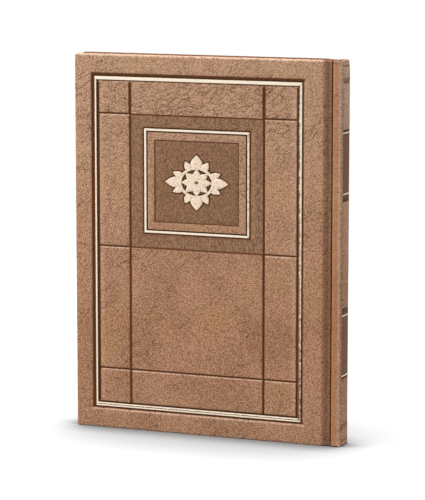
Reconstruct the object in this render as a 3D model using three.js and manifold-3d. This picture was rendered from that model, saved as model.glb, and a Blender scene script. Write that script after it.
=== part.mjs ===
// A hard-bound book case standing on its tail edge, with the text block that it holds.
// X runs from the fore edge to the spine, Y from the front cover to the back one, Z up.
// The origin is under the middle of the case, on the surface that it stands on.
import * as THREE from 'three';
import { mergeVertices } from 'three/addons/utils/BufferGeometryUtils.js';
import Module from 'manifold-3d';

const wasm = await Module();
wasm.setup();

// Driving dimensions of the case, in millimetres.
const coverHeight = 240;
const coverWidth = 180;
const skinThickness = 0.9;
const boardThickness = 1.8;
const turnInThickness = 0.35;
const turnInWidth = 15;
const endpaperThickness = 0.15;
const endpaperRim = 4.5;
const glueLine = 0.02;
const leafGap = 0.04;
const coverEdgeRadius = 1.1;
const innerEdgeRadius = 0.3;
const cornerRadius = 1.6;

// The joint and the spine.
const shoulderWidth = 7.2;
const jointWidth = 5.9;
const jointNotch = 0.8;
const jointRoll = 1.7;
const creaseGap = 0.15;
const creaseRise = 1.2;
const shoulderSink = 0.15;
const shoulderRadius = 1.3;
const spineRadius = 1.9;
const spineCrown = 0.5;
const bowEndShare = 1.25;
const headRadius = 1.5;
const shoulderEndRadius = 0.9;
const stiffenerThickness = 1.2;
const stiffenerInset = 2.2;
const hollow = 0.8;

// The text block: sewn sections of folded leaves, of which the outer ones turn with the covers.
const sectionThickness = 1.02;
const sectionCount = 8;
const square = 3;
const foldCrown = 0.5;
const foldRoundShare = 0.45;
const liningThickness = 0.25;
const mullThickness = 0.3;
const mullInset = 12;
const bandRadius = 0.9;
const bandSetShare = 0.5;
const bandSkirt = 9;
const bendInset = 3.5;
const turnClearance = 0.06;

// How far each leaf turns, as shares of the turn of its cover, from the flyleaf inwards.
const coverTurn = THREE.MathUtils.degToRad(170);
const turnShares = [0.5, 0.4, 0.28, 0.16];

// The tooling of the front cover, measured from the fore edge and the tail.
const borderMargin = 11.4;
const borderMarginEnds = 12.2;
const borderGroove = 2;
const borderFoilWidth = 1.9;
const borderInnerGroove = 1;
const toolDepth = 0.45;
const toolSlope = 0.35;
const ridgeSink = 0.2;
const foilThickness = 0.14;
const lineWidth = 1.7;
const lineDepth = 0.42;
const columnLeft = 38.3;
const columnRight = 128.7;
const rowTop = 202.6;
const rowMiddle = 117.9;
const rowBottom = 38.9;
const panelDepth = 0.3;
const plaqueWidth = 71.2;
const plaqueHeight = 66.2;
const plaqueMiddle = 160.9;
const plaqueFoilWidth = 1.5;
const plaqueLine = 0.9;
const plaqueMargin = 4.6;
const recessDepth = 0.4;
const backLineWidth = 1.5;

// The centrepiece of leaves that stands in the recess.
const ornamentWidth = 43;
const ornamentHeight = 35;
const ornamentThickness = 0.22;

// The tooling of the spine, measured from the middle of its height.
const middlePanelEnd = 33.1;
const innerFoilPlace = 37.8;
const sunkPanelEnd = 73.8;
const outerPanelStart = 77.2;
const outerPanelEnd = 105.8;
const stripStart = 109.2;
const stripEnd = 115.8;
const spineFoilWidth = 0.9;
const spineGrooveDepth = 0.45;
const sunkPanelDepth = 0.3;
const spineToolInset = 2.4;

// Cuts run this far past the faces that they open.
const overrun = 1;
const arcStep = THREE.MathUtils.degToRad(18);
const bowSteps = 10;
const beadSteps = 5;

// Places worked out from the driving dimensions. A depth is measured from the outer face of a cover.
const frontSide = -1;
const backSide = 1;
const foreX = -coverWidth / 2;
const spineX = coverWidth / 2;
const creaseX = spineX - shoulderWidth;
const boardEndX = creaseX - jointWidth;
const boardDepth = skinThickness + glueLine;
const turnInDepth = boardDepth + boardThickness + glueLine;
const coverDepth = turnInDepth + turnInThickness;
const pastedownDepth = coverDepth + glueLine;
const flyleafDepth = pastedownDepth + endpaperThickness + leafGap;
const blockDepth = flyleafDepth + endpaperThickness + leafGap;
const sectionPitch = sectionThickness + leafGap;
const blockThickness = sectionCount * sectionPitch - leafGap;
const blockHalf = blockThickness / 2;
const caseThickness = 2 * blockDepth + blockThickness;
const creaseDepth = coverDepth - skinThickness;
const blockBottom = square;
const blockTop = coverHeight - square;
const blockForeX = foreX + square;
const stiffenerX = spineX - skinThickness - glueLine;
const liningX = stiffenerX - stiffenerThickness - hollow;
const mullX = liningX - liningThickness - glueLine;
const foldX = mullX - mullThickness - glueLine;
const slope = toolSlope / toolDepth;

function atDepth(side, depth) {
  return side * (caseThickness / 2 - depth);
}

// A closed outline from corners [x, y, radius], with each rounded corner drawn as an arc.
function roundedOutline(corners) {
  const points = [];
  corners.forEach(([x, y, radius], i) => {
    const corner = new THREE.Vector2(x, y);
    if (!radius) {
      points.push(corner);
      return;
    }
    const before = corners[(i + corners.length - 1) % corners.length];
    const after = corners[(i + 1) % corners.length];
    const toBefore = new THREE.Vector2(before[0], before[1]).sub(corner).normalize();
    const toAfter = new THREE.Vector2(after[0], after[1]).sub(corner).normalize();
    const half = Math.acos(THREE.MathUtils.clamp(toBefore.dot(toAfter), -1, 1)) / 2;
    const middle = toBefore.clone().add(toAfter).normalize();
    const centre = corner.clone().addScaledVector(middle, radius / Math.sin(half));
    const reach = radius / Math.tan(half);
    const start = corner.clone().addScaledVector(toBefore, reach).sub(centre);
    const end = corner.clone().addScaledVector(toAfter, reach).sub(centre);
    let sweep = end.angle() - start.angle();
    if (sweep > Math.PI) sweep -= 2 * Math.PI;
    if (sweep < -Math.PI) sweep += 2 * Math.PI;
    const steps = Math.max(2, Math.ceil(Math.abs(sweep) / arcStep));
    for (let k = 0; k <= steps; k += 1) {
      const angle = start.angle() + (sweep * k) / steps;
      const spoke = new THREE.Vector2(Math.cos(angle), Math.sin(angle));
      points.push(spoke.multiplyScalar(radius).add(centre));
    }
  });
  return points;
}

function rectangle(x0, y0, x1, y1) {
  return roundedOutline([[x0, y0, 0], [x1, y0, 0], [x1, y1, 0], [x0, y1, 0]]);
}

// Prisms: an outline in XY raised along Z, one in XZ run along Y, or one in YZ run along X.
function prismAlongZ(outline, z0, z1) {
  const shape = new THREE.Shape(outline);
  const geometry = new THREE.ExtrudeGeometry(shape, { depth: z1 - z0, bevelEnabled: false });
  return geometry.translate(0, 0, z0);
}

function prismAlongY(outline, ya, yb) {
  const shape = new THREE.Shape(outline);
  const depth = Math.abs(yb - ya);
  const geometry = new THREE.ExtrudeGeometry(shape, { depth, bevelEnabled: false });
  return geometry.rotateX(Math.PI / 2).translate(0, Math.max(ya, yb), 0);
}

function prismAlongX(outline, x0, x1) {
  const shape = new THREE.Shape(outline);
  const geometry = new THREE.ExtrudeGeometry(shape, { depth: x1 - x0, bevelEnabled: false });
  const turn = new THREE.Matrix4().makeBasis(
    new THREE.Vector3(0, 1, 0),
    new THREE.Vector3(0, 0, 1),
    new THREE.Vector3(1, 0, 0),
  );
  return geometry.applyMatrix4(turn).translate(x0, 0, 0);
}

// A closed mesh with shared vertices becomes a solid that can be joined and cut.
function solid(geometry) {
  const bare = geometry.clone();
  bare.deleteAttribute('normal');
  bare.deleteAttribute('uv');
  const merged = mergeVertices(bare);
  return new wasm.Manifold(new wasm.Mesh({
    numProp: 3,
    vertProperties: new Float32Array(merged.attributes.position.array),
    triVerts: new Uint32Array(merged.index.array),
  }));
}

function geometryOf(piece) {
  const mesh = piece.getMesh();
  const geometry = new THREE.BufferGeometry();
  const positions = new Float32Array(mesh.vertProperties);
  geometry.setAttribute('position', new THREE.BufferAttribute(positions, 3));
  geometry.setIndex(new THREE.BufferAttribute(new Uint32Array(mesh.triVerts), 1));
  geometry.computeVertexNormals();
  return geometry;
}

function join(first, ...others) {
  return others.reduce((sum, other) => sum.add(other), first);
}

function cut(first, ...others) {
  return others.reduce((rest, other) => rest.subtract(other), first);
}

function common(first, ...others) {
  return others.reduce((rest, other) => rest.intersect(other), first);
}

// A plate between two depths of one cover, from its outline in XZ.
function plate(side, outline, depth0, depth1) {
  return prismAlongY(outline, atDepth(side, depth0), atDepth(side, depth1));
}

function grown([x0, z0, x1, z1], by) {
  return [x0 - by, z0 - by, x1 + by, z1 + by];
}

// A block between two depths with sloped walls. It is the box at boxDepth, and narrows as it goes in.
function taperedField(side, box, boxDepth, depth0, depth1, narrowing) {
  const positions = [];
  [depth0, depth1].forEach((depth) => {
    const [x0, z0, x1, z1] = grown(box, (boxDepth - depth) * narrowing);
    const y = atDepth(side, depth);
    positions.push(x0, y, z0, x1, y, z0, x1, y, z1, x0, y, z1);
  });
  const faces = [[0, 1, 2], [0, 2, 3], [4, 6, 5], [4, 7, 6]];
  for (let i = 0; i < 4; i += 1) {
    const next = (i + 1) % 4;
    faces.push([i, i + 4, next + 4], [i, next + 4, next]);
  }
  const index = faces.flatMap(([a, b, c]) => (side < 0 ? [a, b, c] : [a, c, b]));
  const geometry = new THREE.BufferGeometry();
  geometry.setAttribute('position', new THREE.Float32BufferAttribute(positions, 3));
  geometry.setIndex(index);
  return solid(geometry);
}

function sunkField(side, box, depth) {
  return taperedField(side, box, 0, -overrun, depth, slope);
}

// A channel just inside a box, with the skin left standing in the middle.
function channel(side, box, width, depth) {
  const island = taperedField(side, grown(box, -width), 0, -2 * overrun, depth + overrun, -slope);
  return cut(sunkField(side, box, depth), island);
}

// A channel with a ridge in it that carries foil: groove, ridge and groove, from the box inwards.
function ridgedChannel(side, box, outside, ridge, inside) {
  const outer = grown(box, -outside);
  const low = toolDepth + overrun;
  const standing = cut(
    taperedField(side, outer, ridgeSink, ridgeSink, low, -slope),
    taperedField(side, grown(outer, -ridge), ridgeSink, -overrun, low + overrun, slope),
  );
  return cut(channel(side, box, outside + ridge + inside, toolDepth), standing);
}

// V-shaped blind lines.
const lineFlare = (lineWidth / 2) * (1 + overrun / lineDepth);

function uprightLine(side, x, z0, z1) {
  return solid(prismAlongZ([
    new THREE.Vector2(x - lineFlare, atDepth(side, -overrun)),
    new THREE.Vector2(x, atDepth(side, lineDepth)),
    new THREE.Vector2(x + lineFlare, atDepth(side, -overrun)),
  ], z0, z1));
}

function levelLine(side, z, x0, x1) {
  return solid(prismAlongX([
    new THREE.Vector2(atDepth(side, -overrun), z - lineFlare),
    new THREE.Vector2(atDepth(side, lineDepth), z),
    new THREE.Vector2(atDepth(side, -overrun), z + lineFlare),
  ], x0, x1));
}

const caseObject = new THREE.Group();

function addPiece(name, shape, look) {
  const geometry = shape.isBufferGeometry ? shape : geometryOf(shape);
  const mesh = new THREE.Mesh(geometry, new THREE.MeshStandardMaterial(look));
  mesh.name = name;
  caseObject.add(mesh);
}

const skinLook = { color: 0xa97f62, roughness: 0.55, metalness: 0 };
const boardLook = { color: 0xa39b8d, roughness: 0.9, metalness: 0 };
const paperLook = { color: 0xf2ead8, roughness: 0.85, metalness: 0 };
const endpaperLook = { color: 0xe9dfc8, roughness: 0.85, metalness: 0 };
const foilLook = { color: 0xf0dfc2, roughness: 0.35, metalness: 0 };
const clothLook = { color: 0xd9cfb8, roughness: 0.9, metalness: 0 };

// The cover: a board, the skin drawn over it and turned in at three edges, and a pasted-down endpaper.
function coverBlank(side) {
  const outer = atDepth(side, 0);
  const inner = atDepth(side, coverDepth);
  const foreEdge = prismAlongZ(roundedOutline([
    [foreX, outer, coverEdgeRadius],
    [boardEndX, outer, 0],
    [boardEndX, inner, 0],
    [foreX, inner, innerEdgeRadius],
  ]), 0, coverHeight);
  const ends = prismAlongX(roundedOutline([
    [outer, 0, coverEdgeRadius],
    [inner, 0, innerEdgeRadius],
    [inner, coverHeight, innerEdgeRadius],
    [outer, coverHeight, coverEdgeRadius],
  ]), foreX - overrun, boardEndX + overrun);
  const corners = plate(side, roundedOutline([
    [foreX, 0, cornerRadius],
    [boardEndX + overrun, 0, 0],
    [boardEndX + overrun, coverHeight, 0],
    [foreX, coverHeight, cornerRadius],
  ]), -overrun, coverDepth + overrun);
  return common(solid(foreEdge), solid(ends), solid(corners));
}

function coverField(inset, spineEndX) {
  return rectangle(foreX + inset, inset, spineEndX, coverHeight - inset);
}

function coverSkin(side) {
  const past = boardEndX + overrun;
  const pocket = plate(side, coverField(skinThickness, past), skinThickness, turnInDepth);
  const window = plate(side, coverField(turnInWidth, past), turnInDepth - glueLine, coverDepth + overrun);
  return cut(coverBlank(side), solid(pocket), solid(window));
}

function coverBoard(side) {
  return plate(side, coverField(boardDepth, boardEndX), boardDepth, boardDepth + boardThickness);
}

// The endpaper lies over the turn-ins and dips to the bare board between them.
function pastedown(side) {
  const past = boardEndX + overrun;
  const face = pastedownDepth + endpaperThickness;
  const edge = turnInWidth + glueLine;
  const blank = plate(side, coverField(endpaperRim, boardEndX), turnInDepth, face);
  const dip = plate(side, coverField(edge, past), turnInDepth - overrun, face);
  const underRim = plate(side, coverField(0, past), turnInDepth - overrun, pastedownDepth);
  const hollowed = plate(
    side,
    coverField(edge + endpaperThickness, past),
    turnInDepth + endpaperThickness,
    face + overrun,
  );
  return cut(solid(blank), cut(solid(underRim), solid(dip)), solid(hollowed));
}

const borderBox = [
  foreX + borderMargin,
  borderMarginEnds,
  boardEndX - borderMargin,
  coverHeight - borderMarginEnds,
];
const borderRidgeBox = grown(borderBox, -borderGroove);
const borderInnerBox = grown(borderRidgeBox, -borderFoilWidth - borderInnerGroove);
const panelBox = [foreX + columnLeft, rowMiddle, foreX + columnRight, rowTop];
const panelMiddleX = (panelBox[0] + panelBox[2]) / 2;
const plaqueFoilBox = [
  panelMiddleX - plaqueWidth / 2,
  plaqueMiddle - plaqueHeight / 2,
  panelMiddleX + plaqueWidth / 2,
  plaqueMiddle + plaqueHeight / 2,
];
const plaqueBox = grown(plaqueFoilBox, plaqueLine);
const recessBox = grown(plaqueFoilBox, -plaqueFoilWidth - plaqueLine - plaqueMargin);

function frontSkin() {
  const side = frontSide;
  const panel = cut(
    sunkField(side, panelBox, panelDepth),
    taperedField(side, grown(plaqueBox, -plaqueLine / 2), 0, -2 * overrun, panelDepth + overrun, -slope),
  );
  const [lineX0, lineZ0, lineX1, lineZ1] = grown(borderInnerBox, toolSlope);
  return cut(
    coverSkin(side),
    ridgedChannel(side, borderBox, borderGroove, borderFoilWidth, borderInnerGroove),
    panel,
    uprightLine(side, panelBox[0], lineZ0, lineZ1),
    uprightLine(side, panelBox[2], lineZ0, lineZ1),
    levelLine(side, rowBottom, lineX0, lineX1),
    levelLine(side, rowMiddle, lineX0, lineX1),
    levelLine(side, rowTop, lineX0, panelBox[0]),
    levelLine(side, rowTop, panelBox[2], lineX1),
    ridgedChannel(side, plaqueBox, plaqueLine, plaqueFoilWidth, plaqueLine),
    sunkField(side, recessBox, recessDepth),
  );
}

function backSkin() {
  return cut(coverSkin(backSide), channel(backSide, borderBox, backLineWidth, lineDepth));
}

// A flat ring of foil on the ridge of a ridged channel.
function foilRing(side, box, width) {
  const shape = new THREE.Shape(rectangle(...box));
  shape.holes.push(new THREE.Path(rectangle(...grown(box, -width))));
  const geometry = new THREE.ExtrudeGeometry(shape, { depth: foilThickness, bevelEnabled: false });
  const under = ridgeSink - glueLine;
  const y = Math.max(atDepth(side, under), atDepth(side, under - foilThickness));
  return geometry.rotateX(Math.PI / 2).translate(0, y, 0);
}

addPiece('front_board', coverBoard(frontSide), boardLook);
addPiece('front_cover_skin', frontSkin(), skinLook);
addPiece('front_pastedown', pastedown(frontSide), endpaperLook);
addPiece('front_border_foil', foilRing(frontSide, borderRidgeBox, borderFoilWidth), foilLook);
addPiece('front_plaque_foil', foilRing(frontSide, plaqueFoilBox, plaqueFoilWidth), foilLook);
addPiece('back_board', coverBoard(backSide), boardLook);
addPiece('back_cover_skin', backSkin(), skinLook);
addPiece('back_pastedown', pastedown(backSide), endpaperLook);

// The centrepiece is a flat foil of leaves round a rosette, drawn round and then flattened to an oval.
const petalCount = 8;
const ovalSteps = 40;
const leafSteps = 9;
const bulgeShare = 0.75;
const eyeShare = 0.06;
const rosetteShare = 0.14;
const petalShare = 0.49;
const petalWidthShare = 0.27;
const ringInnerShare = 0.47;
const ringShare = 0.56;
const tipWidthShare = 0.38;
const sprigShare = 0.84;
const sprigWidthShare = 0.23;
const sprigAngle = Math.PI / 7;

function flattened(points) {
  const half = ornamentWidth / 2;
  const flat = ornamentHeight / ornamentWidth;
  return points.map(([u, v]) => new THREE.Vector2(
    panelMiddleX + half * u,
    plaqueMiddle + half * flat * v,
  ));
}

function oval(share) {
  return flattened(Array.from({ length: ovalSteps }, (_, i) => {
    const angle = (2 * Math.PI * i) / ovalSteps;
    return [share * Math.cos(angle), share * Math.sin(angle)];
  }));
}

// A leaf from one radius to another, widest nearer its root and pointed at both ends.
function leaf(rootShare, reachShare, widthShare, angle) {
  const edge = (hand) => Array.from({ length: leafSteps }, (_, i) => {
    const along = i / leafSteps;
    const bulge = Math.sin(Math.PI * along ** bulgeShare);
    return [rootShare + (reachShare - rootShare) * along, (hand * widthShare * bulge) / 2];
  });
  const outline = [...edge(-1), [reachShare, 0], ...edge(1).slice(1).reverse()];
  return flattened(outline.map(([u, v]) => [
    u * Math.cos(angle) - v * Math.sin(angle),
    u * Math.sin(angle) + v * Math.cos(angle),
  ]));
}

function centrepiece() {
  const bottom = recessDepth - glueLine;
  const top = bottom - ornamentThickness;
  const raised = (outline) => solid(plate(frontSide, outline, top, bottom));
  const through = (outline) => solid(plate(frontSide, outline, top - overrun, bottom + overrun));
  const pieces = [raised(oval(rosetteShare))];
  for (let i = 0; i < petalCount; i += 1) {
    pieces.push(raised(leaf(eyeShare, petalShare, petalWidthShare, (2 * Math.PI * i) / petalCount)));
  }
  for (let i = 0; i < 4; i += 1) {
    const quarter = (Math.PI * i) / 2;
    pieces.push(raised(leaf(ringInnerShare, 1, tipWidthShare, quarter)));
    pieces.push(raised(leaf(ringInnerShare, sprigShare, sprigWidthShare, quarter + sprigAngle)));
    pieces.push(raised(leaf(ringInnerShare, sprigShare, sprigWidthShare, quarter - sprigAngle)));
  }
  const ring = cut(raised(oval(ringShare)), through(oval(ringInnerShare)));
  return cut(join(ring, ...pieces), through(oval(eyeShare)));
}

addPiece('front_centrepiece_foil', centrepiece(), foilLook);

// The joints: a strip of skin on each side rolls down from the board into the crease.
function offsetPath(points, distance) {
  return points.map((point, i) => {
    const before = points[Math.max(i - 1, 0)];
    const after = points[Math.min(i + 1, points.length - 1)];
    const into = point.clone().sub(before).normalize();
    const out = after.clone().sub(point).normalize();
    const along = into.add(out).normalize();
    return new THREE.Vector2(point.x - along.y * distance, point.y + along.x * distance);
  });
}

function jointSkin(side) {
  const x0 = boardEndX + creaseGap;
  const x1 = creaseX - creaseGap;
  const path = Array.from({ length: bowSteps + 1 }, (_, i) => {
    const along = i / bowSteps;
    return new THREE.Vector2(x0 + (x1 - x0) * along, atDepth(side, creaseDepth * along ** jointRoll));
  });
  const under = offsetPath(path, -side * skinThickness).reverse();
  return prismAlongZ([...path, ...under], jointNotch, coverHeight - jointNotch);
}

// The spine: skin over a stiffener of thin board, bowed a little, with the skin turned in at both ends.
const spineHalf = caseThickness / 2 - shoulderSink;
const stiffenerHalf = caseThickness / 2 - stiffenerInset;
const toolHalf = caseThickness / 2 - spineToolInset;

function bowX(y, crestX, bow, half) {
  return crestX - bow * (y / half) ** 2;
}

// A band across the spine that follows a bow, so deep and so thick.
function bowedBand({ crestX, bow, bowHalf, half, thickness, z0, z1 }) {
  const outer = Array.from({ length: bowSteps + 1 }, (_, i) => {
    const y = half * ((2 * i) / bowSteps - 1);
    return new THREE.Vector2(bowX(y, crestX, bow, bowHalf), y);
  });
  const inner = outer.map((point) => new THREE.Vector2(point.x - thickness, point.y)).reverse();
  return prismAlongZ([...outer, ...inner], z0, z1);
}

function spineBand(depth, thickness, half, z0, z1) {
  return bowedBand({ crestX: spineX - depth, bow: spineCrown, bowHalf: spineHalf, half, thickness, z0, z1 });
}

function spineBlank() {
  const bowEnd = spineHalf - bowEndShare * spineRadius;
  const bow = Array.from({ length: bowSteps + 1 }, (_, i) => {
    const y = bowEnd * ((2 * i) / bowSteps - 1);
    return [bowX(y, spineX, spineCrown, spineHalf), y, 0];
  });
  const path = roundedOutline([
    [creaseX, atDepth(frontSide, creaseDepth), 0],
    [creaseX + creaseRise, atDepth(frontSide, shoulderSink), shoulderRadius],
    [spineX - spineCrown, atDepth(frontSide, shoulderSink), spineRadius],
    ...bow,
    [spineX - spineCrown, atDepth(backSide, shoulderSink), spineRadius],
    [creaseX + creaseRise, atDepth(backSide, shoulderSink), shoulderRadius],
    [creaseX, atDepth(backSide, creaseDepth), 0],
  ]);
  const wall = prismAlongZ([...path, ...offsetPath(path, skinThickness).reverse()], 0, coverHeight);
  return solid(wall);
}

function spineTurnIn(z0, z1) {
  const flapDepth = skinThickness + stiffenerThickness + 2 * glueLine;
  const capThickness = flapDepth + turnInThickness - skinThickness / 2;
  const endZ = z0 ? coverHeight - skinThickness : 0;
  return join(
    solid(spineBand(skinThickness / 2, capThickness, stiffenerHalf, endZ, endZ + skinThickness)),
    solid(spineBand(flapDepth, turnInThickness, stiffenerHalf, z0, z1)),
  );
}

// The head and tail of the spine are rounded over, seen from the side and from the back.
function roundedEnds() {
  const fromFront = prismAlongY(roundedOutline([
    [creaseX - overrun, 0, 0],
    [spineX, 0, headRadius],
    [spineX, coverHeight, headRadius],
    [creaseX - overrun, coverHeight, 0],
  ]), -caseThickness, caseThickness);
  const fromSide = prismAlongX(roundedOutline([
    [atDepth(frontSide, 0), 0, shoulderEndRadius],
    [atDepth(backSide, 0), 0, shoulderEndRadius],
    [atDepth(backSide, 0), coverHeight, shoulderEndRadius],
    [atDepth(frontSide, 0), coverHeight, shoulderEndRadius],
  ]), creaseX - overrun, spineX + overrun);
  return common(solid(fromFront), solid(fromSide));
}

// Foil lines lie at both ends of each sunk panel.
const outerFoilPlace = (sunkPanelEnd + outerPanelStart) / 2;
const foilPlaces = [outerFoilPlace, innerFoilPlace, -innerFoilPlace, -outerFoilPlace];
const foilSeat = foilThickness + 2 * glueLine;

function spineTools() {
  const cutAcross = (depth, from, to) => {
    const low = Math.min(from, to) + coverHeight / 2;
    const high = Math.max(from, to) + coverHeight / 2;
    return solid(spineBand(-overrun, overrun + depth, toolHalf, low, high));
  };
  const halfFoil = spineFoilWidth / 2;
  return [1, -1].flatMap((hand) => [
    cutAcross(spineGrooveDepth, hand * middlePanelEnd, hand * (innerFoilPlace - halfFoil)),
    cutAcross(foilSeat, hand * (innerFoilPlace - halfFoil), hand * (innerFoilPlace + halfFoil)),
    cutAcross(sunkPanelDepth, hand * (innerFoilPlace + halfFoil), hand * sunkPanelEnd),
    cutAcross(foilSeat, hand * (outerFoilPlace - halfFoil), hand * (outerFoilPlace + halfFoil)),
    cutAcross(spineGrooveDepth, hand * (outerFoilPlace + halfFoil), hand * outerPanelStart),
    cutAcross(spineGrooveDepth, hand * outerPanelEnd, hand * stripStart),
    cutAcross(sunkPanelDepth, hand * stripEnd, hand * (stripEnd + spineFoilWidth)),
  ]);
}

function spineSkin() {
  const turnedIn = join(
    spineBlank(),
    spineTurnIn(0, turnInWidth),
    spineTurnIn(coverHeight - turnInWidth, coverHeight),
  );
  return cut(common(turnedIn, roundedEnds()), ...spineTools());
}

addPiece('front_joint_skin', jointSkin(frontSide), skinLook);
addPiece('back_joint_skin', jointSkin(backSide), skinLook);
addPiece('spine_skin', spineSkin(), skinLook);
addPiece('spine_stiffener', spineBand(
  skinThickness + glueLine,
  stiffenerThickness,
  stiffenerHalf,
  skinThickness + glueLine,
  coverHeight - skinThickness - glueLine,
), boardLook);
foilPlaces.forEach((place, i) => {
  const low = coverHeight / 2 + place - spineFoilWidth / 2 + glueLine;
  const foil = spineBand(glueLine, foilThickness, toolHalf - glueLine, low, low + spineFoilWidth - 2 * glueLine);
  addPiece(`spine_foil_line_${i + 1}`, foil, foilLook);
});

// Each leaf bends at its own line near the fold. The lines step towards the spine from the middle
// of the block outwards, just enough for each leaf to clear the one inside it when both are turned.
const turningThicknesses = [endpaperThickness, ...turnShares.slice(1).map(() => sectionThickness)];
const bendX = [creaseX - bendInset];
turnShares.slice(1).forEach((innerShare, i) => {
  const outerTurn = coverTurn * turnShares[i];
  const innerTurn = coverTurn * innerShare;
  const thickness = turningThicknesses[i];
  const swung = thickness * Math.cos(outerTurn - innerTurn);
  const room = (thickness + leafGap) * Math.cos(innerTurn);
  bendX.push(bendX[i] - Math.max(0, (swung - room) / Math.sin(innerTurn)) - turnClearance);
});

function foldEndX(y) {
  return bowX(y, foldX, foldCrown, blockHalf);
}

function sectionDepth(index) {
  return blockDepth + index * sectionPitch;
}

// A section from startX to its fold, which is rounded like a folded sheaf.
function sewnSection(side, index, startX) {
  const near = atDepth(side, sectionDepth(index));
  const far = atDepth(side, sectionDepth(index) + sectionThickness);
  const endX = foldEndX((near + far) / 2);
  const round = sectionThickness * foldRoundShare;
  return prismAlongZ(roundedOutline([
    [startX, near, 0],
    [endX, near, round],
    [endX, far, round],
    [startX, far, 0],
  ]), blockBottom, blockTop);
}

function leaves(side, depth, thickness, endX) {
  const outline = rectangle(blockForeX, blockBottom, endX, blockTop);
  return plate(side, outline, depth, depth + thickness);
}

function endpaperFold(side) {
  const endX = foldEndX(blockHalf) - sectionThickness / 2;
  const outline = rectangle(bendX[0] + leafGap, blockBottom, endX, blockTop);
  return plate(side, outline, flyleafDepth, flyleafDepth + endpaperThickness);
}

[[frontSide, 'front'], [backSide, 'back']].forEach(([side, word]) => {
  addPiece(`${word}_flyleaf`, leaves(side, flyleafDepth, endpaperThickness, bendX[0]), endpaperLook);
  addPiece(`${word}_endpaper_fold`, endpaperFold(side), endpaperLook);
  for (let i = 0; i < sectionCount / 2; i += 1) {
    const number = side < 0 ? i + 1 : sectionCount - i;
    const bend = bendX[i + 1];
    if (bend === undefined) {
      addPiece(`section_${number}`, sewnSection(side, i, blockForeX), paperLook);
    } else {
      addPiece(`section_${number}_leaves`, leaves(side, sectionDepth(i), sectionThickness, bend), paperLook);
      addPiece(`section_${number}_fold`, sewnSection(side, i, bend + leafGap), paperLook);
    }
  }
});

// Mull and a paper lining are glued over the folds, and a band is glued in at each end.
const liningHalf = blockHalf - sectionThickness / 2;
const blockBow = { bow: foldCrown, bowHalf: blockHalf, half: liningHalf };

addPiece('mull', bowedBand({
  ...blockBow,
  crestX: mullX,
  thickness: mullThickness,
  z0: blockBottom + mullInset,
  z1: blockTop - mullInset,
}), clothLook);
addPiece('spine_lining', bowedBand({
  ...blockBow,
  crestX: liningX,
  thickness: liningThickness,
  z0: blockBottom,
  z1: blockTop,
}), boardLook);

function endBand(hand) {
  const edgeZ = hand > 0 ? blockTop : blockBottom;
  const beadZ = edgeZ + hand * (leafGap + bandRadius);
  const beadX = mullX - bandSetShare * bandRadius;
  const route = new THREE.QuadraticBezierCurve3(
    new THREE.Vector3(beadX - foldCrown, -liningHalf, beadZ),
    new THREE.Vector3(beadX + foldCrown, 0, beadZ),
    new THREE.Vector3(beadX - foldCrown, liningHalf, beadZ),
  );
  const section = new THREE.Shape().absarc(0, 0, bandRadius, 0, 2 * Math.PI);
  const bead = new THREE.ExtrudeGeometry(section, { steps: bowSteps, curveSegments: beadSteps, extrudePath: route });
  const skirt = bowedBand({
    ...blockBow,
    crestX: mullX,
    thickness: mullThickness,
    z0: Math.min(edgeZ - hand * bandSkirt, beadZ),
    z1: Math.max(edgeZ - hand * bandSkirt, beadZ),
  });
  return join(solid(bead), solid(skirt));
}

addPiece('headband', endBand(1), clothLook);
addPiece('tailband', endBand(-1), clothLook);

export default caseObject;
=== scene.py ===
# A hard-bound book in tan tooled leatherette, dressed over its construction model.
# X runs from the fore edge to the spine, Y from the front cover to the back one, Z up.
import math
import random

import bmesh
import bpy
import numpy as np
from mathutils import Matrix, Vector, noise


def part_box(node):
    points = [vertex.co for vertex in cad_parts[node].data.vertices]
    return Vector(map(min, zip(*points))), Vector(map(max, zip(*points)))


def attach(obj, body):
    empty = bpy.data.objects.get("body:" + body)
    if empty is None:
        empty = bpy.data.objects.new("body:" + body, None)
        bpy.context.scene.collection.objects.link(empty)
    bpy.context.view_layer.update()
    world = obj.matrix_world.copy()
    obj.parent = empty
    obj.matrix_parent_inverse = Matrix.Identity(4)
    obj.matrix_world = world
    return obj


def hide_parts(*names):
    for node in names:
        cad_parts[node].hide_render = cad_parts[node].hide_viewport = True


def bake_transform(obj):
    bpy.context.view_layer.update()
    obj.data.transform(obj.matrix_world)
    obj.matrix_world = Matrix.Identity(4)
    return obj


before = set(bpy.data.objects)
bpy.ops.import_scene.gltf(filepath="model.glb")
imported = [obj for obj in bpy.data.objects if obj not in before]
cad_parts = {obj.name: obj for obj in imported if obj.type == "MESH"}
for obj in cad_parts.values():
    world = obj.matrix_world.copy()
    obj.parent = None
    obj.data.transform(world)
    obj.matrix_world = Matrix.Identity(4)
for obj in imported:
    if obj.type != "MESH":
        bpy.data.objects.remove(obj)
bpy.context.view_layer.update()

# The camera stands to the spine side of the book and a little above it, on a long lens.
# Its place and aim come from the corners of the cover and its tooling in the photograph.
camera_place = (0.6059, -1.4841, 0.3543)
camera_turn = math.radians(22.167)
camera_tilt = math.radians(8.389)
lens_length, sensor_width = 185.37, 36

camera = bpy.data.objects.new("camera", bpy.data.cameras.new("camera"))
camera.data.lens = lens_length
camera.data.sensor_width = sensor_width
camera.location = camera_place
camera.rotation_euler = (math.pi / 2 - camera_tilt, 0, camera_turn)
bpy.context.scene.collection.objects.link(camera)
bpy.context.scene.camera = camera
bpy.context.scene.view_settings.view_transform = "Standard"


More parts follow.
